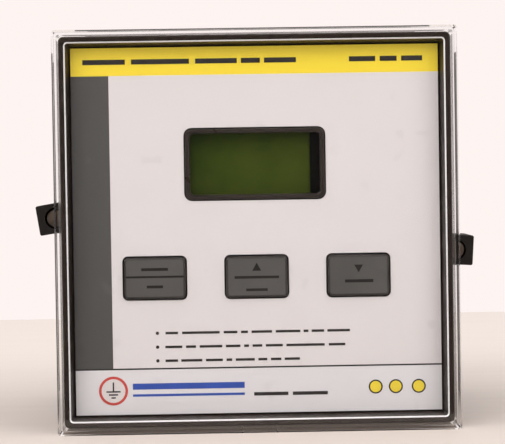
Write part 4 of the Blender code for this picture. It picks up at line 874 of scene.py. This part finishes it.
@dataclass
class FacePrint:
    """Generic printed marks of the face, as thin ink on the sheet: bars, dots and rules."""

    ink_mm: float = 0.03
    header_mm: float = 1.25
    note_mm: float = 0.62
    bullet_radius_mm: float = 0.42
    origin: Vector = field(default_factory=lambda: sum(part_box("front_label"), Vector()) / 2)
    front: float = field(default_factory=lambda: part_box("front_label")[0].y)

    # Left and right ends of the bars, and the other places and sizes, in millimetres.
    HEADER = ((-42.4, -31.9), (-30.4, -16.1), (-14.6, -4.3), (-3.3, 1.4), (2.4, 10.3))
    HEADER_RIGHT = ((23.4, 29.9), (31.0, 35.2), (36.3, 41.5))
    HEADER_Z = 41.85
    NOTES = (
        ((-23.0, -19.9), (-18.9, -9.6), (-8.6, -5.2), (-4.3, -2.6), (-1.7, 3.4), (4.3, 10.4),
         (11.2, 12.4), (13.2, 16.3), (17.1, 22.7)),
        ((-23.1, -18.9), (-18.0, -15.5), (-14.6, -9.0), (-8.1, -4.5), (-3.6, -2.4), (-1.5, 0.9),
         (1.8, 6.0), (6.9, 16.4), (17.4, 21.5)),
        ((-23.1, -20.0), (-19.2, -14.0), (-13.1, -8.9), (-8.0, -6.6), (-5.7, -1.0), (-0.1, 2.1),
         (3.0, 5.6), (6.4, 10.2)),
    )
    NOTE_Z = (-25.25, -28.7, -32.1)
    BULLET_X = -25.0
    EARTH_PLACE = (-36.1, -39.4)
    EARTH_RADII = (3.6, 2.95)
    EARTH_BARS = ((1.75, 0.2), (1.15, 0.95), (0.55, 1.7))    # half width and drop of each
    EARTH_LINE = 0.36
    EARTH_STEM = (1.05, 2.2)    # rise of its middle, and its height
    RULES = (("foot_rule_wide", -38.4, 1.5), ("foot_rule_thin", -40.6, 0.6))
    RULE_ENDS = (-31.3, -3.6)
    FOOT_BAR = ((-1.3, 7.2, -40.7), (8.3, 17.0, -40.7))
    FOOT_BAR_HEIGHT = 0.85
    MARKS = ((28.9, -39.4), (33.9, -39.4), (39.6, -39.4))
    MARK_RADII = (1.75, 1.4)

    def place(self, across_mm: float, up_mm: float, lift_mm: float) -> Vector:
        """Point on the printed face.

        Args:
            across_mm: distance to the right of the face's centre.
            up_mm: distance above it.
            lift_mm: distance in front of the sheet.

        Returns:
            The point in metres.
        """
        return Vector((self.origin.x + across_mm * MM, self.front - lift_mm * MM,
                       self.origin.z + up_mm * MM))

    def mark(self, tree: NodeTree, name: str, places: Iterable[tuple[float, float]],
             sizes: dict[str, float], finish: Finish, layer: int,
             widths: Sequence[float] = ()) -> None:
        """Print a set of marks.

        Args:
            tree: geometry tree of a mark.
            name: name of the piece.
            places: place of each mark on the face, in millimetres.
            sizes: the tree's sizes, apart from the thickness of the ink.
            finish: their ink.
            layer: number of inks that lie under this one.
            widths: a width for each mark.
        """
        points = [self.place(across, up, self.ink_mm * (layer + 0.5)) for across, up in places]
        piece = grown(tree, name, {**sizes, "Ink": self.ink_mm * MM}, finish, points, widths)
        settle(piece, Body.HOUSING, (finish,))

    @cached_property
    def bar_tree(self) -> NodeTree:
        """Geometry tree that puts a flat bar of its own width on each place."""
        tree, given = size_tree("printed_bars", ("Bar height", "Ink"))
        width = add_node(tree, "GeometryNodeInputNamedAttribute", {"Name": "width"},
                         data_type="FLOAT")
        scale = add_node(tree, "ShaderNodeCombineXYZ", {
            "X": width, "Y": given.outputs["Ink"], "Z": given.outputs["Bar height"]})
        bar = add_node(tree, "GeometryNodeMeshCube", {"Size": (1.0, 1.0, 1.0)})
        return end_tree(tree, given, bar, scale)

    def bars(self, name: str, lines: Sequence[tuple[float, float, float]], height_mm: float,
             finish: Finish, layer: int = 0) -> None:
        """Print a set of bars.

        Args:
            name: name of the piece.
            lines: left end, right end and height on the face of each bar, in millimetres.
            height_mm: height of the bars themselves.
            finish: their ink.
            layer: number of inks that lie under this one.
        """
        middles = [((left + right) / 2, up) for left, right, up in lines]
        widths = [(right - left) * MM for left, right, _ in lines]
        sizes = {"Bar height": height_mm * MM}
        self.mark(self.bar_tree, name, middles, sizes, finish, layer, widths)

    @cached_property
    def dot_tree(self) -> NodeTree:
        """Geometry tree that puts a flat round dot on each place."""
        tree, given = size_tree("printed_dots", ("Radius", "Ink"))
        disc = add_node(tree, "GeometryNodeMeshCylinder", {
            "Vertices": 32, "Radius": given.outputs["Radius"], "Depth": given.outputs["Ink"]})
        flat = add_node(tree, "GeometryNodeTransform", {
            "Geometry": disc, "Rotation": (QUARTER_TURN, 0.0, 0.0)})
        return end_tree(tree, given, flat)

    def dots(self, name: str, places: Iterable[tuple[float, float]], radius_mm: float,
             finish: Finish, layer: int = 0) -> None:
        """Print a set of round dots."""
        self.mark(self.dot_tree, name, places, {"Radius": radius_mm * MM}, finish, layer)

    def build(self) -> None:
        """Print header, notes and foot."""
        header = [(left, right, self.HEADER_Z) for left, right in self.HEADER + self.HEADER_RIGHT]
        self.bars("header_bars", header, self.header_mm, BLACK_INK)
        notes = [(left, right, up) for line, up in zip(self.NOTES, self.NOTE_Z)
                 for left, right in line]
        self.bars("note_bars", notes, self.note_mm, BLACK_INK)
        bullets = [(self.BULLET_X, up) for up in self.NOTE_Z]
        self.dots("note_bullets", bullets, self.bullet_radius_mm, BLACK_INK)
        self.foot()

    def foot(self) -> None:
        """Print an earth sign in a red ring, blue rules, a dark bar and three yellow dots."""
        across, up = self.EARTH_PLACE
        ring, inside = self.EARTH_RADII
        self.dots("earth_ring", [self.EARTH_PLACE], ring, RED_INK)
        self.dots("earth_field", [self.EARTH_PLACE], inside, SHEET_INK, 1)
        sign = [(across - half, across + half, up - drop) for half, drop in self.EARTH_BARS]
        self.bars("earth_sign_bars", sign, self.EARTH_LINE, BLACK_INK, 2)
        rise, height = self.EARTH_STEM
        stem = (across - self.EARTH_LINE / 2, across + self.EARTH_LINE / 2, up + rise)
        self.bars("earth_sign_stem", [stem], height, BLACK_INK, 2)
        for name, level, height in self.RULES:
            self.bars(name, [(*self.RULE_ENDS, level)], height, BLUE_INK)
        self.bars("foot_bar", self.FOOT_BAR, self.FOOT_BAR_HEIGHT, BLACK_INK)
        outline, fill = self.MARK_RADII
        self.dots("foot_marks_outline", self.MARKS, outline, BLACK_INK)
        self.dots("foot_marks", self.MARKS, fill, YELLOW_INK, 1)


@dataclass
class BezelFront:
    """Bezel moulding with a painted highlight line on its rim, and the printed sheet in its recess.
    """

    edge_mm: float = 0.1
    rim_mm: float = 1.3
    chamfer_mm: float = 0.35
    facing_front: float = -0.5

    def mark_line(self, mesh: bmesh.types.BMesh) -> None:
        """Give the chamfer on the inner edge of the rim its painted highlight line.

        Args:
            mesh: merged copy of the bezel.
        """
        low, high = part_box("front_frame")
        middle = (low + high) / 2
        outer = (high.x - low.x) / 2
        inner = outer - (self.rim_mm + self.chamfer_mm) * MM
        for face in mesh.faces:
            centre = face.calc_center_median()
            reach = max(abs(centre.x - middle.x), abs(centre.z - middle.z))
            near_front = centre.y < low.y + self.chamfer_mm * MM
            in_line = inner < reach < outer - self.rim_mm * MM
            if near_front and in_line and face.normal.y < self.facing_front:
                face.material_index = 1

    def build(self) -> None:
        """Bezel and print."""
        piece = softened("front_frame", self.edge_mm, "bezel", mark=self.mark_line)
        settle(piece, Body.HOUSING, (BLACK_ABS, RIM_HIGHLIGHT_PAINT), ("front_frame",))
        FacePrint().build()


@dataclass
class Display:
    """Frame round the display opening."""

    edge_mm: float = 0.12

    def build(self) -> None:
        """Round its edges."""
        piece = softened("display_frame", self.edge_mm, "display_surround")
        settle(piece, Body.HOUSING, (FRAME_ABS,), ("display_frame",))


@dataclass
class KeyRow:
    """Three keys with borders in painted shade and generic marks."""

    edge_mm: float = 0.12
    border_mm: float = 0.2
    rise_mm: float = 0.05
    ink_mm: float = 0.03

    BODIES = {"left": Body.LEFT_KEY, "middle": Body.MIDDLE_KEY, "right": Body.RIGHT_KEY}
    # Corners of each arrow head, and middle and size of each bar, in millimetres.
    ARROWS = {"left": (), "middle": (((-1.1, 1.5), (1.1, 1.5), (0.0, 3.5)),),
              "right": (((-1.1, 2.6), (0.0, 0.7), (1.1, 2.6)),)}
    BARS = {"left": ((0.0, 0.35, 14.4, 0.5), (0.0, 2.2, 6.6, 0.7), (0.0, -2.1, 4.0, 0.7)),
            "middle": ((0.0, -0.1, 11.0, 0.65), (0.0, -3.2, 5.3, 0.65)),
            "right": ((0.1, -1.4, 7.0, 0.75),)}

    def mark_face(self, mesh: bmesh.types.BMesh) -> None:
        """Inset the front of the cap and leave all round it in the border's painted shade.

        Args:
            mesh: merged copy of a cap.
        """
        front = min(mesh.faces, key=lambda face: face.calc_center_median().y)
        for face in mesh.faces:
            face.material_index = 1
        bmesh.ops.inset_region(mesh, faces=[front], thickness=self.border_mm * MM,
                               depth=self.rise_mm * MM, use_even_offset=True)
        front.material_index = 0

    def build(self) -> None:
        """Shape the caps and print them."""
        for side, body in self.BODIES.items():
            node = "key_" + side
            cap = softened(node, self.edge_mm, "keycap_" + side, mark=self.mark_face)
            settle(cap, body, (KEY_ABS, KEY_BORDER_SHADE), (node,))
            self.print_marks(side, body)

    def print_marks(self, side: str, body: Body) -> None:
        """Arrow, divider and bars of one key.

        Args:
            side: which key.
            body: its body.
        """
        low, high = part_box("key_" + side)
        centre = (low + high) / 2
        mesh = bmesh.new()
        face_y = low.y - self.rise_mm * MM
        for outline in [*self.ARROWS[side], *(self.bar(*sizes) for sizes in self.BARS[side])]:
            ring = [mesh.verts.new((centre.x + across * MM, face_y, centre.z + up * MM))
                    for across, up in outline]
            raised = bmesh.ops.extrude_face_region(mesh, geom=[mesh.faces.new(ring)])
            top = [part for part in raised["geom"] if isinstance(part, bmesh.types.BMVert)]
            bmesh.ops.translate(mesh, verts=top, vec=(0, -self.ink_mm * MM, 0))
        bmesh.ops.recalc_face_normals(mesh, faces=mesh.faces)
        settle(from_bmesh(mesh, "key_marks_" + side), body, (SHADOW_INK,))

    @staticmethod
    def bar(across: float, up: float, width: float, height: float) -> list[tuple[float, float]]:
        """Corners of a bar round its middle, in millimetres."""
        return [(across + x * width / 2, up + z * height / 2)
                for x, z in ((-1, -1), (1, -1), (1, 1), (-1, 1))]


@dataclass
class SlottedScrews:
    """Slotted pan-head screws, with clamp washers where wires go under them."""

    head_radius_mm: float
    head_height_mm: float
    washer_radius_mm: float
    washer_mm: float
    slot_width_mm: float = 0.7
    slot_depth_mm: float = 0.9
    edge_mm: float = 0.28

    def tree(self) -> NodeTree:
        """Geometry tree with one head and one washer on each place, their backs at the place."""
        known = bpy.data.node_groups.get("slotted_screws")
        if known:
            return known
        sizes = ("Head radius", "Head height", "Washer radius", "Washer", "Slot width", "Slot depth")
        tree, given = size_tree("slotted_screws", sizes)
        out = given.outputs
        head = slotted_head(tree, out, 40, out["Washer"])
        washer = add_node(tree, "GeometryNodeMeshCylinder", {
            "Vertices": 40, "Radius": out["Washer radius"], "Depth": out["Washer"]})
        half = add_node(tree, "ShaderNodeMath", {0: out["Washer"], 1: 0.5}, operation="MULTIPLY")
        both = add_node(tree, "GeometryNodeJoinGeometry", {0: [head, moved(tree, washer, Z=half)]})
        turned = add_node(tree, "GeometryNodeTransform", {
            "Geometry": both, "Rotation": (-QUARTER_TURN, 0.0, 0.0)})
        return end_tree(tree, given, turned)

    def build(self, name: str, places: Sequence[Vector], nodes: Iterable[str]) -> None:
        """Put the screws on their places.

        Args:
            name: name of the piece.
            places: middle of the seat of each screw.
            nodes: CAD nodes that the piece replaces.
        """
        piece = grown(self.tree(), name, sizes_of(self), ZINC_STEEL, places, edge_mm=self.edge_mm)
        settle(piece, Body.HOUSING, (ZINC_STEEL,), nodes)


@dataclass
class MouldedCase:
    """Case, rear cover and the screws that hold it."""

    edge_mm: float = 0.2
    head_radius_mm: float = 2.8
    head_height_mm: float = 2.0
    seat_radius_mm: float = 1.5
    seat_mm: float = 0.05

    def build(self) -> None:
        """Round the mouldings and put in the screws."""
        for node, name in (("case_body", "case"), ("rear_cover", "back_plate")):
            piece = softened(node, self.edge_mm, name)
            settle(piece, Body.HOUSING, (CASE_ABS,), (node,))
        nodes = [f"rear_screw_{number}" for number in range(1, 5)]
        places = []
        for node in nodes:
            low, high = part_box(node)
            middle = (low + high) / 2
            places.append(Vector((middle.x, high.y - self.head_height_mm * MM, middle.z)))
        screws = SlottedScrews(self.head_radius_mm, self.head_height_mm - self.seat_mm,
                               self.seat_radius_mm, self.seat_mm)
        screws.build("rear_cover_screws", places, nodes)


@dataclass
class TerminalStrips:
    """Two barrier strips of six poles, their brass plates, clamp screws and numbers."""

    poles: int = 6
    pitch_mm: float = 9.5
    barrier_mm: float = 1.5
    base_mm: float = 3.0
    edge_mm: float = 0.22
    plate_mm: float = 0.8
    plate_edge_mm: float = 0.1
    tail_mm: tuple[float, float] = (1.2, 0.8)
    head_radius_mm: float = 3.0
    head_height_mm: float = 2.2
    washer_radius_mm: float = 3.35
    washer_mm: float = 0.5
    screw_rise_mm: float = 1.2
    digit_mm: float = 2.6
    digit_gap_mm: float = 2.4
    digit_half_mm: float = 0.015
    digit_lift_mm: float = 0.016

    @cached_property
    def strip_tree(self) -> NodeTree:
        """Geometry tree of a barrier strip: a block with a row of pockets cut out of it."""
        sizes = ("Poles", "Pitch", "Block width", "Block depth", "Block height", "Pocket width",
                 "Pocket back", "Pocket rise")
        tree, given = size_tree("barrier_strip", sizes)
        out = given.outputs
        whole = block(tree, out["Block width"], out["Block depth"], out["Block height"])
        pocket = block(tree, out["Pocket width"], out["Block depth"], out["Block height"])
        gaps = add_node(tree, "ShaderNodeMath", {0: out["Poles"], 1: 1.0}, operation="SUBTRACT")
        run = add_node(tree, "ShaderNodeMath", {0: gaps, 1: out["Pitch"]}, operation="MULTIPLY")
        first = add_node(tree, "ShaderNodeMath", {0: run, 1: -0.5}, operation="MULTIPLY")
        start = add_node(tree, "ShaderNodeCombineXYZ", {
            "X": first, "Y": out["Pocket back"], "Z": out["Pocket rise"]})
        step = add_node(tree, "ShaderNodeCombineXYZ", {"X": out["Pitch"]})
        row = add_node(tree, "GeometryNodeMeshLine", {
            "Count": out["Poles"], "Start Location": start, "Offset": step})
        pockets = add_node(tree, "GeometryNodeInstanceOnPoints", {"Points": row, "Instance": pocket})
        cut = add_node(tree, "GeometryNodeMeshBoolean", {"Mesh 1": whole, "Mesh 2": pockets},
                       solver="EXACT")
        return end_tree(tree, given, cut)

    @cached_property
    def plate_tree(self) -> NodeTree:
        """Geometry tree of a plate with its solder tail on each place."""
        sizes = ("Plate width", "Plate", "Plate height", "Tail width", "Tail length", "Tail height",
                 "Tail drop")
        tree, given = size_tree("terminal_plates", sizes)
        out = given.outputs
        plate = block(tree, out["Plate width"], out["Plate"], out["Plate height"])
        tail = block(tree, out["Tail width"], out["Tail length"], out["Tail height"])
        back = add_node(tree, "ShaderNodeMath", {0: out["Tail length"], 1: -0.5},
                        operation="MULTIPLY")
        behind = moved(tree, tail, Y=back, Z=out["Tail drop"])
        both = add_node(tree, "GeometryNodeJoinGeometry", {0: [plate, behind]})
        return end_tree(tree, given, both)

    def build(self) -> None:
        """Build both strips with what is in and beside them."""
        seats: list[Vector] = []
        names: list[str] = []
        for level, side, first in (("upper", 1, 1), ("lower", -1, self.poles + 1)):
            self.strip(level, side)
            nodes = [f"terminal_{number}" for number in range(first, first + self.poles)]
            boxes = [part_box(node) for node in nodes]
            self.plates(level, side, nodes, boxes)
            for low, high in boxes:
                middle = (low + high) / 2
                seats.append(Vector((middle.x, high.y - self.head_height_mm * MM,
                                     middle.z + side * self.screw_rise_mm * MM)))
            names += nodes
            self.numbers(level, side, first, boxes)
        screws = SlottedScrews(self.head_radius_mm, self.head_height_mm - self.washer_mm,
                               self.washer_radius_mm, self.washer_mm)
        screws.build("terminal_screws", seats, names)

    def strip(self, level: str, side: int) -> None:
        """Build one strip.

        Args:
            level: "upper" or "lower".
            side: 1 for the upper strip, whose pockets open upwards, and -1 for the lower one.
        """
        node = "terminal_strip_" + level
        low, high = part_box(node)
        size = high - low
        sizes = {
            "Poles": float(self.poles), "Pitch": self.pitch_mm * MM, "Block width": size.x,
            "Block depth": size.y, "Block height": size.z,
            "Pocket width": (self.pitch_mm - self.barrier_mm) * MM,
            "Pocket back": self.base_mm * MM, "Pocket rise": side * self.barrier_mm * MM}
        piece = grown(self.strip_tree, "barrier_strip_" + level, sizes, BLACK_NYLON,
                      [(low + high) / 2], edge_mm=self.edge_mm)
        settle(piece, Body.HOUSING, (BLACK_NYLON,), (node,))

    def plates(self, level: str, side: int, nodes: Sequence[str], boxes: Sequence[Box]) -> None:
        """Build the plates of one strip.

        Args:
            level: "upper" or "lower".
            side: 1 for the upper and -1 for the lower strip.
            nodes: CAD nodes of its terminals.
            boxes: their boxes.
        """
        low, high = boxes[0]
        size = high - low
        tail_width, tail_height = self.tail_mm
        rise = (self.head_height_mm + self.plate_mm / 2) * MM
        sizes = {
            "Plate width": size.x, "Plate": self.plate_mm * MM, "Plate height": size.z,
            "Tail width": tail_width * MM, "Tail length": size.y - rise,
            "Tail height": tail_height * MM, "Tail drop": -side * (size.z / 2 - tail_height * MM)}
        places = [Vector(((a.x + b.x) / 2, b.y - rise, (a.z + b.z) / 2)) for a, b in boxes]
        piece = grown(self.plate_tree, "terminal_plates_" + level, sizes, BRASS, places,
                      edge_mm=self.plate_edge_mm)
        settle(piece, Body.HOUSING, (BRASS,), nodes)

    def numbers(self, level: str, side: int, first: int, boxes: Sequence[Box]) -> None:
        """Print the terminals' numbers beside the open side of their strip.

        Args:
            level: "upper" or "lower".
            side: 1 for above the upper strip, -1 for below the lower one.
            first: number of the first terminal.
            boxes: boxes of the terminals.
        """
        strip_low, strip_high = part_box("terminal_strip_" + level)
        edge = strip_high.z if side > 0 else strip_low.z
        up = edge + side * self.digit_gap_mm * MM
        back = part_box("rear_cover")[1].y + self.digit_lift_mm * MM
        turn = Matrix.Rotation(math.pi, 4, "Z") @ Matrix.Rotation(QUARTER_TURN, 4, "X")
        mesh = bmesh.new()
        for offset, (low, high) in enumerate(boxes):
            curve = bpy.data.curves.new("digits", "FONT")
            curve.body = str(first + offset)
            curve.size = self.digit_mm * MM
            curve.align_x = "CENTER"
            curve.align_y = "CENTER"
            curve.extrude = self.digit_half_mm * MM
            digits = plain_piece(linked("digits", curve), "digits")
            at = Matrix.Translation(((low.x + high.x) / 2, back, up))
            digits.data.transform(at @ turn)
            mesh.from_mesh(digits.data)
            bpy.data.objects.remove(digits)
        settle(from_bmesh(mesh, "terminal_numbers_" + level), Body.HOUSING, (WHITE_INK,))


@dataclass
class SideClamp:
    """Clamp block on one side and the threaded jack screw through it."""

    side: str
    clamp_body: Body
    jack_body: Body
    droop_deg: float
    edge_mm: float = 0.12
    crest_radius_mm: float = 2.4
    thread_mm: float = 0.3
    pitch_mm: float = 0.8
    tip_mm: float = 0.9
    head_height_mm: float = 3.4
    head_radius_mm: float = 4.2
    slot_width_mm: float = 1.1
    slot_depth_mm: float = 1.4

    def tree(self) -> NodeTree:
        """Geometry tree of a threaded screw along its own Z, tip down, with a slotted head."""
        known = bpy.data.node_groups.get("jack_screw")
        if known:
            return known
        sizes = ("Length", "Pitch", "Crest radius", "Thread", "Tip", "Head radius", "Head height",
                 "Slot width", "Slot depth", "Droop")
        tree, given = size_tree("jack_screw", sizes)
        out = given.outputs
        root = add_node(tree, "ShaderNodeMath", {0: out["Crest radius"], 1: out["Thread"]},
                        operation="SUBTRACT")
        core = add_node(tree, "GeometryNodeMeshCylinder", {
            "Vertices": 40, "Radius": root, "Depth": out["Length"]})
        half = add_node(tree, "ShaderNodeMath", {0: out["Length"], 1: 0.5}, operation="MULTIPLY")
        threaded = add_node(tree, "ShaderNodeMath", {0: out["Length"], 1: out["Tip"]},
                            operation="SUBTRACT")
        turns = add_node(tree, "ShaderNodeMath", {0: threaded, 1: out["Pitch"]}, operation="DIVIDE")
        helix = add_node(tree, "GeometryNodeCurveSpiral", {
            "Resolution": 28, "Rotations": turns, "Start Radius": root, "End Radius": root,
            "Height": threaded})
        upright = add_node(tree, "GeometryNodeSetCurveNormal", {0: helix}, mode="Z_UP")
        ridge = add_node(tree, "GeometryNodeCurvePrimitiveCircle", {
            "Resolution": 4, "Radius": out["Thread"]})
        thread = add_node(tree, "GeometryNodeCurveToMesh", {
            "Curve": upright, "Profile Curve": ridge, "Fill Caps": True})
        whole = add_node(tree, "GeometryNodeJoinGeometry", {
            0: [moved(tree, core, Z=half), moved(tree, thread, Z=out["Tip"]),
                slotted_head(tree, out, 48, out["Length"])]})
        droop = add_node(tree, "ShaderNodeCombineXYZ", {"Z": out["Droop"]})
        drooped = add_node(tree, "GeometryNodeTransform", {"Geometry": whole, "Rotation": droop})
        laid = add_node(tree, "GeometryNodeTransform", {
            "Geometry": drooped, "Rotation": (-QUARTER_TURN, 0.0, 0.0)})
        return end_tree(tree, given, laid)

    def build(self) -> None:
        """Round the block and grow the screw."""
        node = "clamp_" + self.side
        clamp = softened(node, self.edge_mm, "clamp_block_" + self.side)
        settle(clamp, self.clamp_body, (BLACK_NYLON,), (node,))
        node = "jack_screw_" + self.side
        low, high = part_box(node)
        middle = (low + high) / 2
        sizes = {**sizes_of(self), "Length": high.y - low.y - self.head_height_mm * MM,
                 "Droop": math.radians(self.droop_deg)}
        place = Vector((middle.x, low.y, middle.z))
        screw = grown(self.tree(), "jack_" + self.side, sizes, DULL_STEEL, [place])
        settle(screw, self.jack_body, (DULL_STEEL,), (node,))


@dataclass(frozen=True)
class Viewpoint:
    """Camera of the photograph, fitted to the corners of cover, bezel and sheet."""

    place: tuple[float, float, float] = (-0.00946, -0.5507, 0.0647)
    yaw_deg: float = 0.97
    pitch_deg: float = -1.52
    roll_deg: float = -0.89
    focal_px: float = 2039.2
    frame_px: float = 505.0
    sensor_mm: float = 36.0

    def build(self) -> None:
        """Set up the scene's camera."""
        yaw, pitch, roll = map(math.radians, (self.yaw_deg, self.pitch_deg, self.roll_deg))
        ahead = Vector((math.sin(yaw) * math.cos(pitch), math.cos(yaw) * math.cos(pitch),
                        math.sin(pitch)))
        right = Vector((math.cos(yaw), -math.sin(yaw), 0))
        above = right.cross(ahead)
        turned_right = math.cos(roll) * right + math.sin(roll) * above
        turned_up = -math.sin(roll) * right + math.cos(roll) * above
        data = bpy.data.cameras.new("viewpoint")
        data.sensor_width = self.sensor_mm
        data.sensor_fit = "HORIZONTAL"
        data.lens = self.focal_px / self.frame_px * self.sensor_mm
        data.clip_start = 0.01
        camera = linked("viewpoint", data)
        axes = Matrix((turned_right, turned_up, -ahead)).transposed()
        camera.matrix_world = Matrix.Translation(self.place) @ axes.to_4x4()
        bpy.context.scene.camera = camera


@dataclass
class Studio:
    """Pale table, soft tent of light and the plain white behind the relay."""

    wall: str = "#fef4f1"
    # The table's colour runs from table_near to table_far: painted light, darker near the front and
    # lighter towards the wall.
    table_near: str = "#e2d4cb"
    table_far: str = "#f0e3db"
    near_y: float = -0.085
    far_y: float = 0.34
    fade: tuple[float, float] = (-0.07, 0.12)
    half_width: float = 0.9
    edge_radius: float = 0.02
    edge_steps: int = 12
    edge_drop: float = 0.05
    streak_mm: float = 60.0
    streak_squeeze: float = 9.0
    streak_share: float = 0.12
    tent_level: float = 0.8
    opening_level: float = 0.05
    opening_cos: tuple[float, float] = (0.95, 0.985)

    # Name, place and side in metres, and watts of each lamp.
    LAMPS = (("upper_left_softbox", (-0.75, -0.95, 0.95), 1.1, 9.0),
             ("upper_right_softbox", (0.85, -0.85, 0.85), 0.9, 5.5))

    def build(self) -> None:
        """World, table and lamps."""
        self.build_world()
        self.build_table()
        for lamp in self.LAMPS:
            self.lamp(*lamp)
        bpy.context.scene.view_settings.view_transform = "Standard"

    def build_world(self) -> None:
        """White all round for what sees it, darker only where the camera stands."""
        world = bpy.data.worlds.new("soft_tent")
        bpy.context.scene.world = world
        tree = bare_tree(world)
        direction = add_node(tree, "ShaderNodeTexCoord").outputs["Generated"]
        towards = add_node(tree, "ShaderNodeVectorMath", {0: direction, 1: (0.0, -1.0, 0.0)},
                           operation="DOT_PRODUCT")
        opening = add_node(tree, "ShaderNodeMapRange", {
            "Value": towards.outputs["Value"], "From Min": self.opening_cos[0],
            "From Max": self.opening_cos[1], "To Min": 1.0, "To Max": self.opening_level},
            interpolation_type="SMOOTHSTEP")
        path = add_node(tree, "ShaderNodeLightPath")
        either = add_node(tree, "ShaderNodeMath", {
            0: path.outputs["Is Glossy Ray"], 1: path.outputs["Is Transmission Ray"]},
            operation="MAXIMUM")
        level = add_node(tree, "ShaderNodeMapRange", {
            "Value": either, "To Min": self.tent_level, "To Max": 1.0})
        tent = add_node(tree, "ShaderNodeMath", {0: opening, 1: level}, operation="MULTIPLY")
        strength = add_node(tree, "ShaderNodeMath", {
            0: tent, 1: path.outputs["Is Camera Ray"]}, operation="MAXIMUM")
        seen = add_node(tree, "ShaderNodeMath", {
            0: either, 1: path.outputs["Is Camera Ray"]}, operation="MAXIMUM")
        colour = painted(tree, (1.0, 1.0, 1.0, 1.0), [(seen, linear(self.wall))])
        light = add_node(tree, "ShaderNodeBackground", {"Color": colour, "Strength": strength})
        add_node(tree, "ShaderNodeOutputWorld", {"Surface": light})

    def build_table(self) -> None:
        """Pale table top with a rounded front edge, painted lighter towards the wall."""
        profile = [(self.far_y, 0.0)]
        for step in range(self.edge_steps + 1):
            turn = QUARTER_TURN * step / self.edge_steps
            profile.append((self.near_y - self.edge_radius * math.sin(turn),
                            self.edge_radius * (math.cos(turn) - 1)))
        profile.append((self.near_y - self.edge_radius, -self.edge_radius - self.edge_drop))
        mesh = bmesh.new()
        rails = [[mesh.verts.new((side * self.half_width, y, z)) for y, z in profile]
                 for side in (-1, 1)]
        for step in range(len(profile) - 1):
            mesh.faces.new((rails[0][step], rails[0][step + 1], rails[1][step + 1], rails[1][step]))
        table = shaded(from_bmesh(mesh, "table"))
        table.data.materials.append(self.table_material())

    def table_material(self) -> bpy.types.Material:
        """Dull pale laminate with faint streaks along its length, and painted light: lighter towards
        the wall.
        """
        material = bpy.data.materials.new("pale_table")
        tree = bare_tree(material)
        point = add_node(tree, "ShaderNodeTexCoord").outputs["Object"]
        parts = add_node(tree, "ShaderNodeSeparateXYZ", {0: point})
        # Painted light: the colour runs lighter towards the wall.
        depth = add_node(tree, "ShaderNodeMapRange", {
            "Value": parts.outputs["Y"], "From Min": self.fade[0], "From Max": self.fade[1]},
            interpolation_type="SMOOTHSTEP")
        streak = add_node(tree, "ShaderNodeMapping", {
            "Vector": point, "Scale": (1.0, self.streak_squeeze, 1.0)})
        faint = patches(tree, streak, self.streak_mm, 4.0, NOISE_SPAN,
                        (-self.streak_share, self.streak_share))
        place = add_node(tree, "ShaderNodeMath", {0: depth, 1: faint}, operation="ADD",
                         use_clamp=True)
        colour = painted(tree, linear(self.table_near), [(place, linear(self.table_far))])
        shader = add_node(tree, "ShaderNodeBsdfPrincipled", {
            "Base Color": colour, "Roughness": 0.7, "Specular IOR Level": 0.25})
        add_node(tree, "ShaderNodeOutputMaterial", {"Surface": shader})
        return material

    def lamp(self, name: str, place: tuple[float, float, float], side: float, power: float) -> None:
        """Add one soft square lamp that looks at the middle of the relay.

        Args:
            name: name of the lamp.
            place: where it hangs, in metres.
            side: side of its face.
            power: watts.
        """
        data = bpy.data.lights.new(name, "AREA")
        data.shape = "RECTANGLE"
        data.size = data.size_y = side
        data.energy = power
        lamp = linked(name, data)
        lamp.location = place
        aim = sum(CAD_BOX, Vector()) / 2 - lamp.location
        lamp.rotation_euler = aim.to_track_quat("-Z", "Y").to_euler()


def main() -> None:
    """Set up the camera and the studio, then build the relay's looks in order."""
    logging.basicConfig(level=logging.INFO, format="%(name)s: %(message)s")
    Viewpoint().build()
    Studio().build()
    dress_frame()
    assemblies = (
        ClearCover(), BezelFront(), Display(), KeyRow(), MouldedCase(), TerminalStrips(),
        SideClamp("left", Body.LEFT_CLAMP, Body.LEFT_JACK, -9.0),
        SideClamp("right", Body.RIGHT_CLAMP, Body.RIGHT_JACK, 3.5),
    )
    for assembly in assemblies:
        assembly.build()
        LOG.info("%s is done", type(assembly).__name__)


if __name__ == "__main__":
    main()
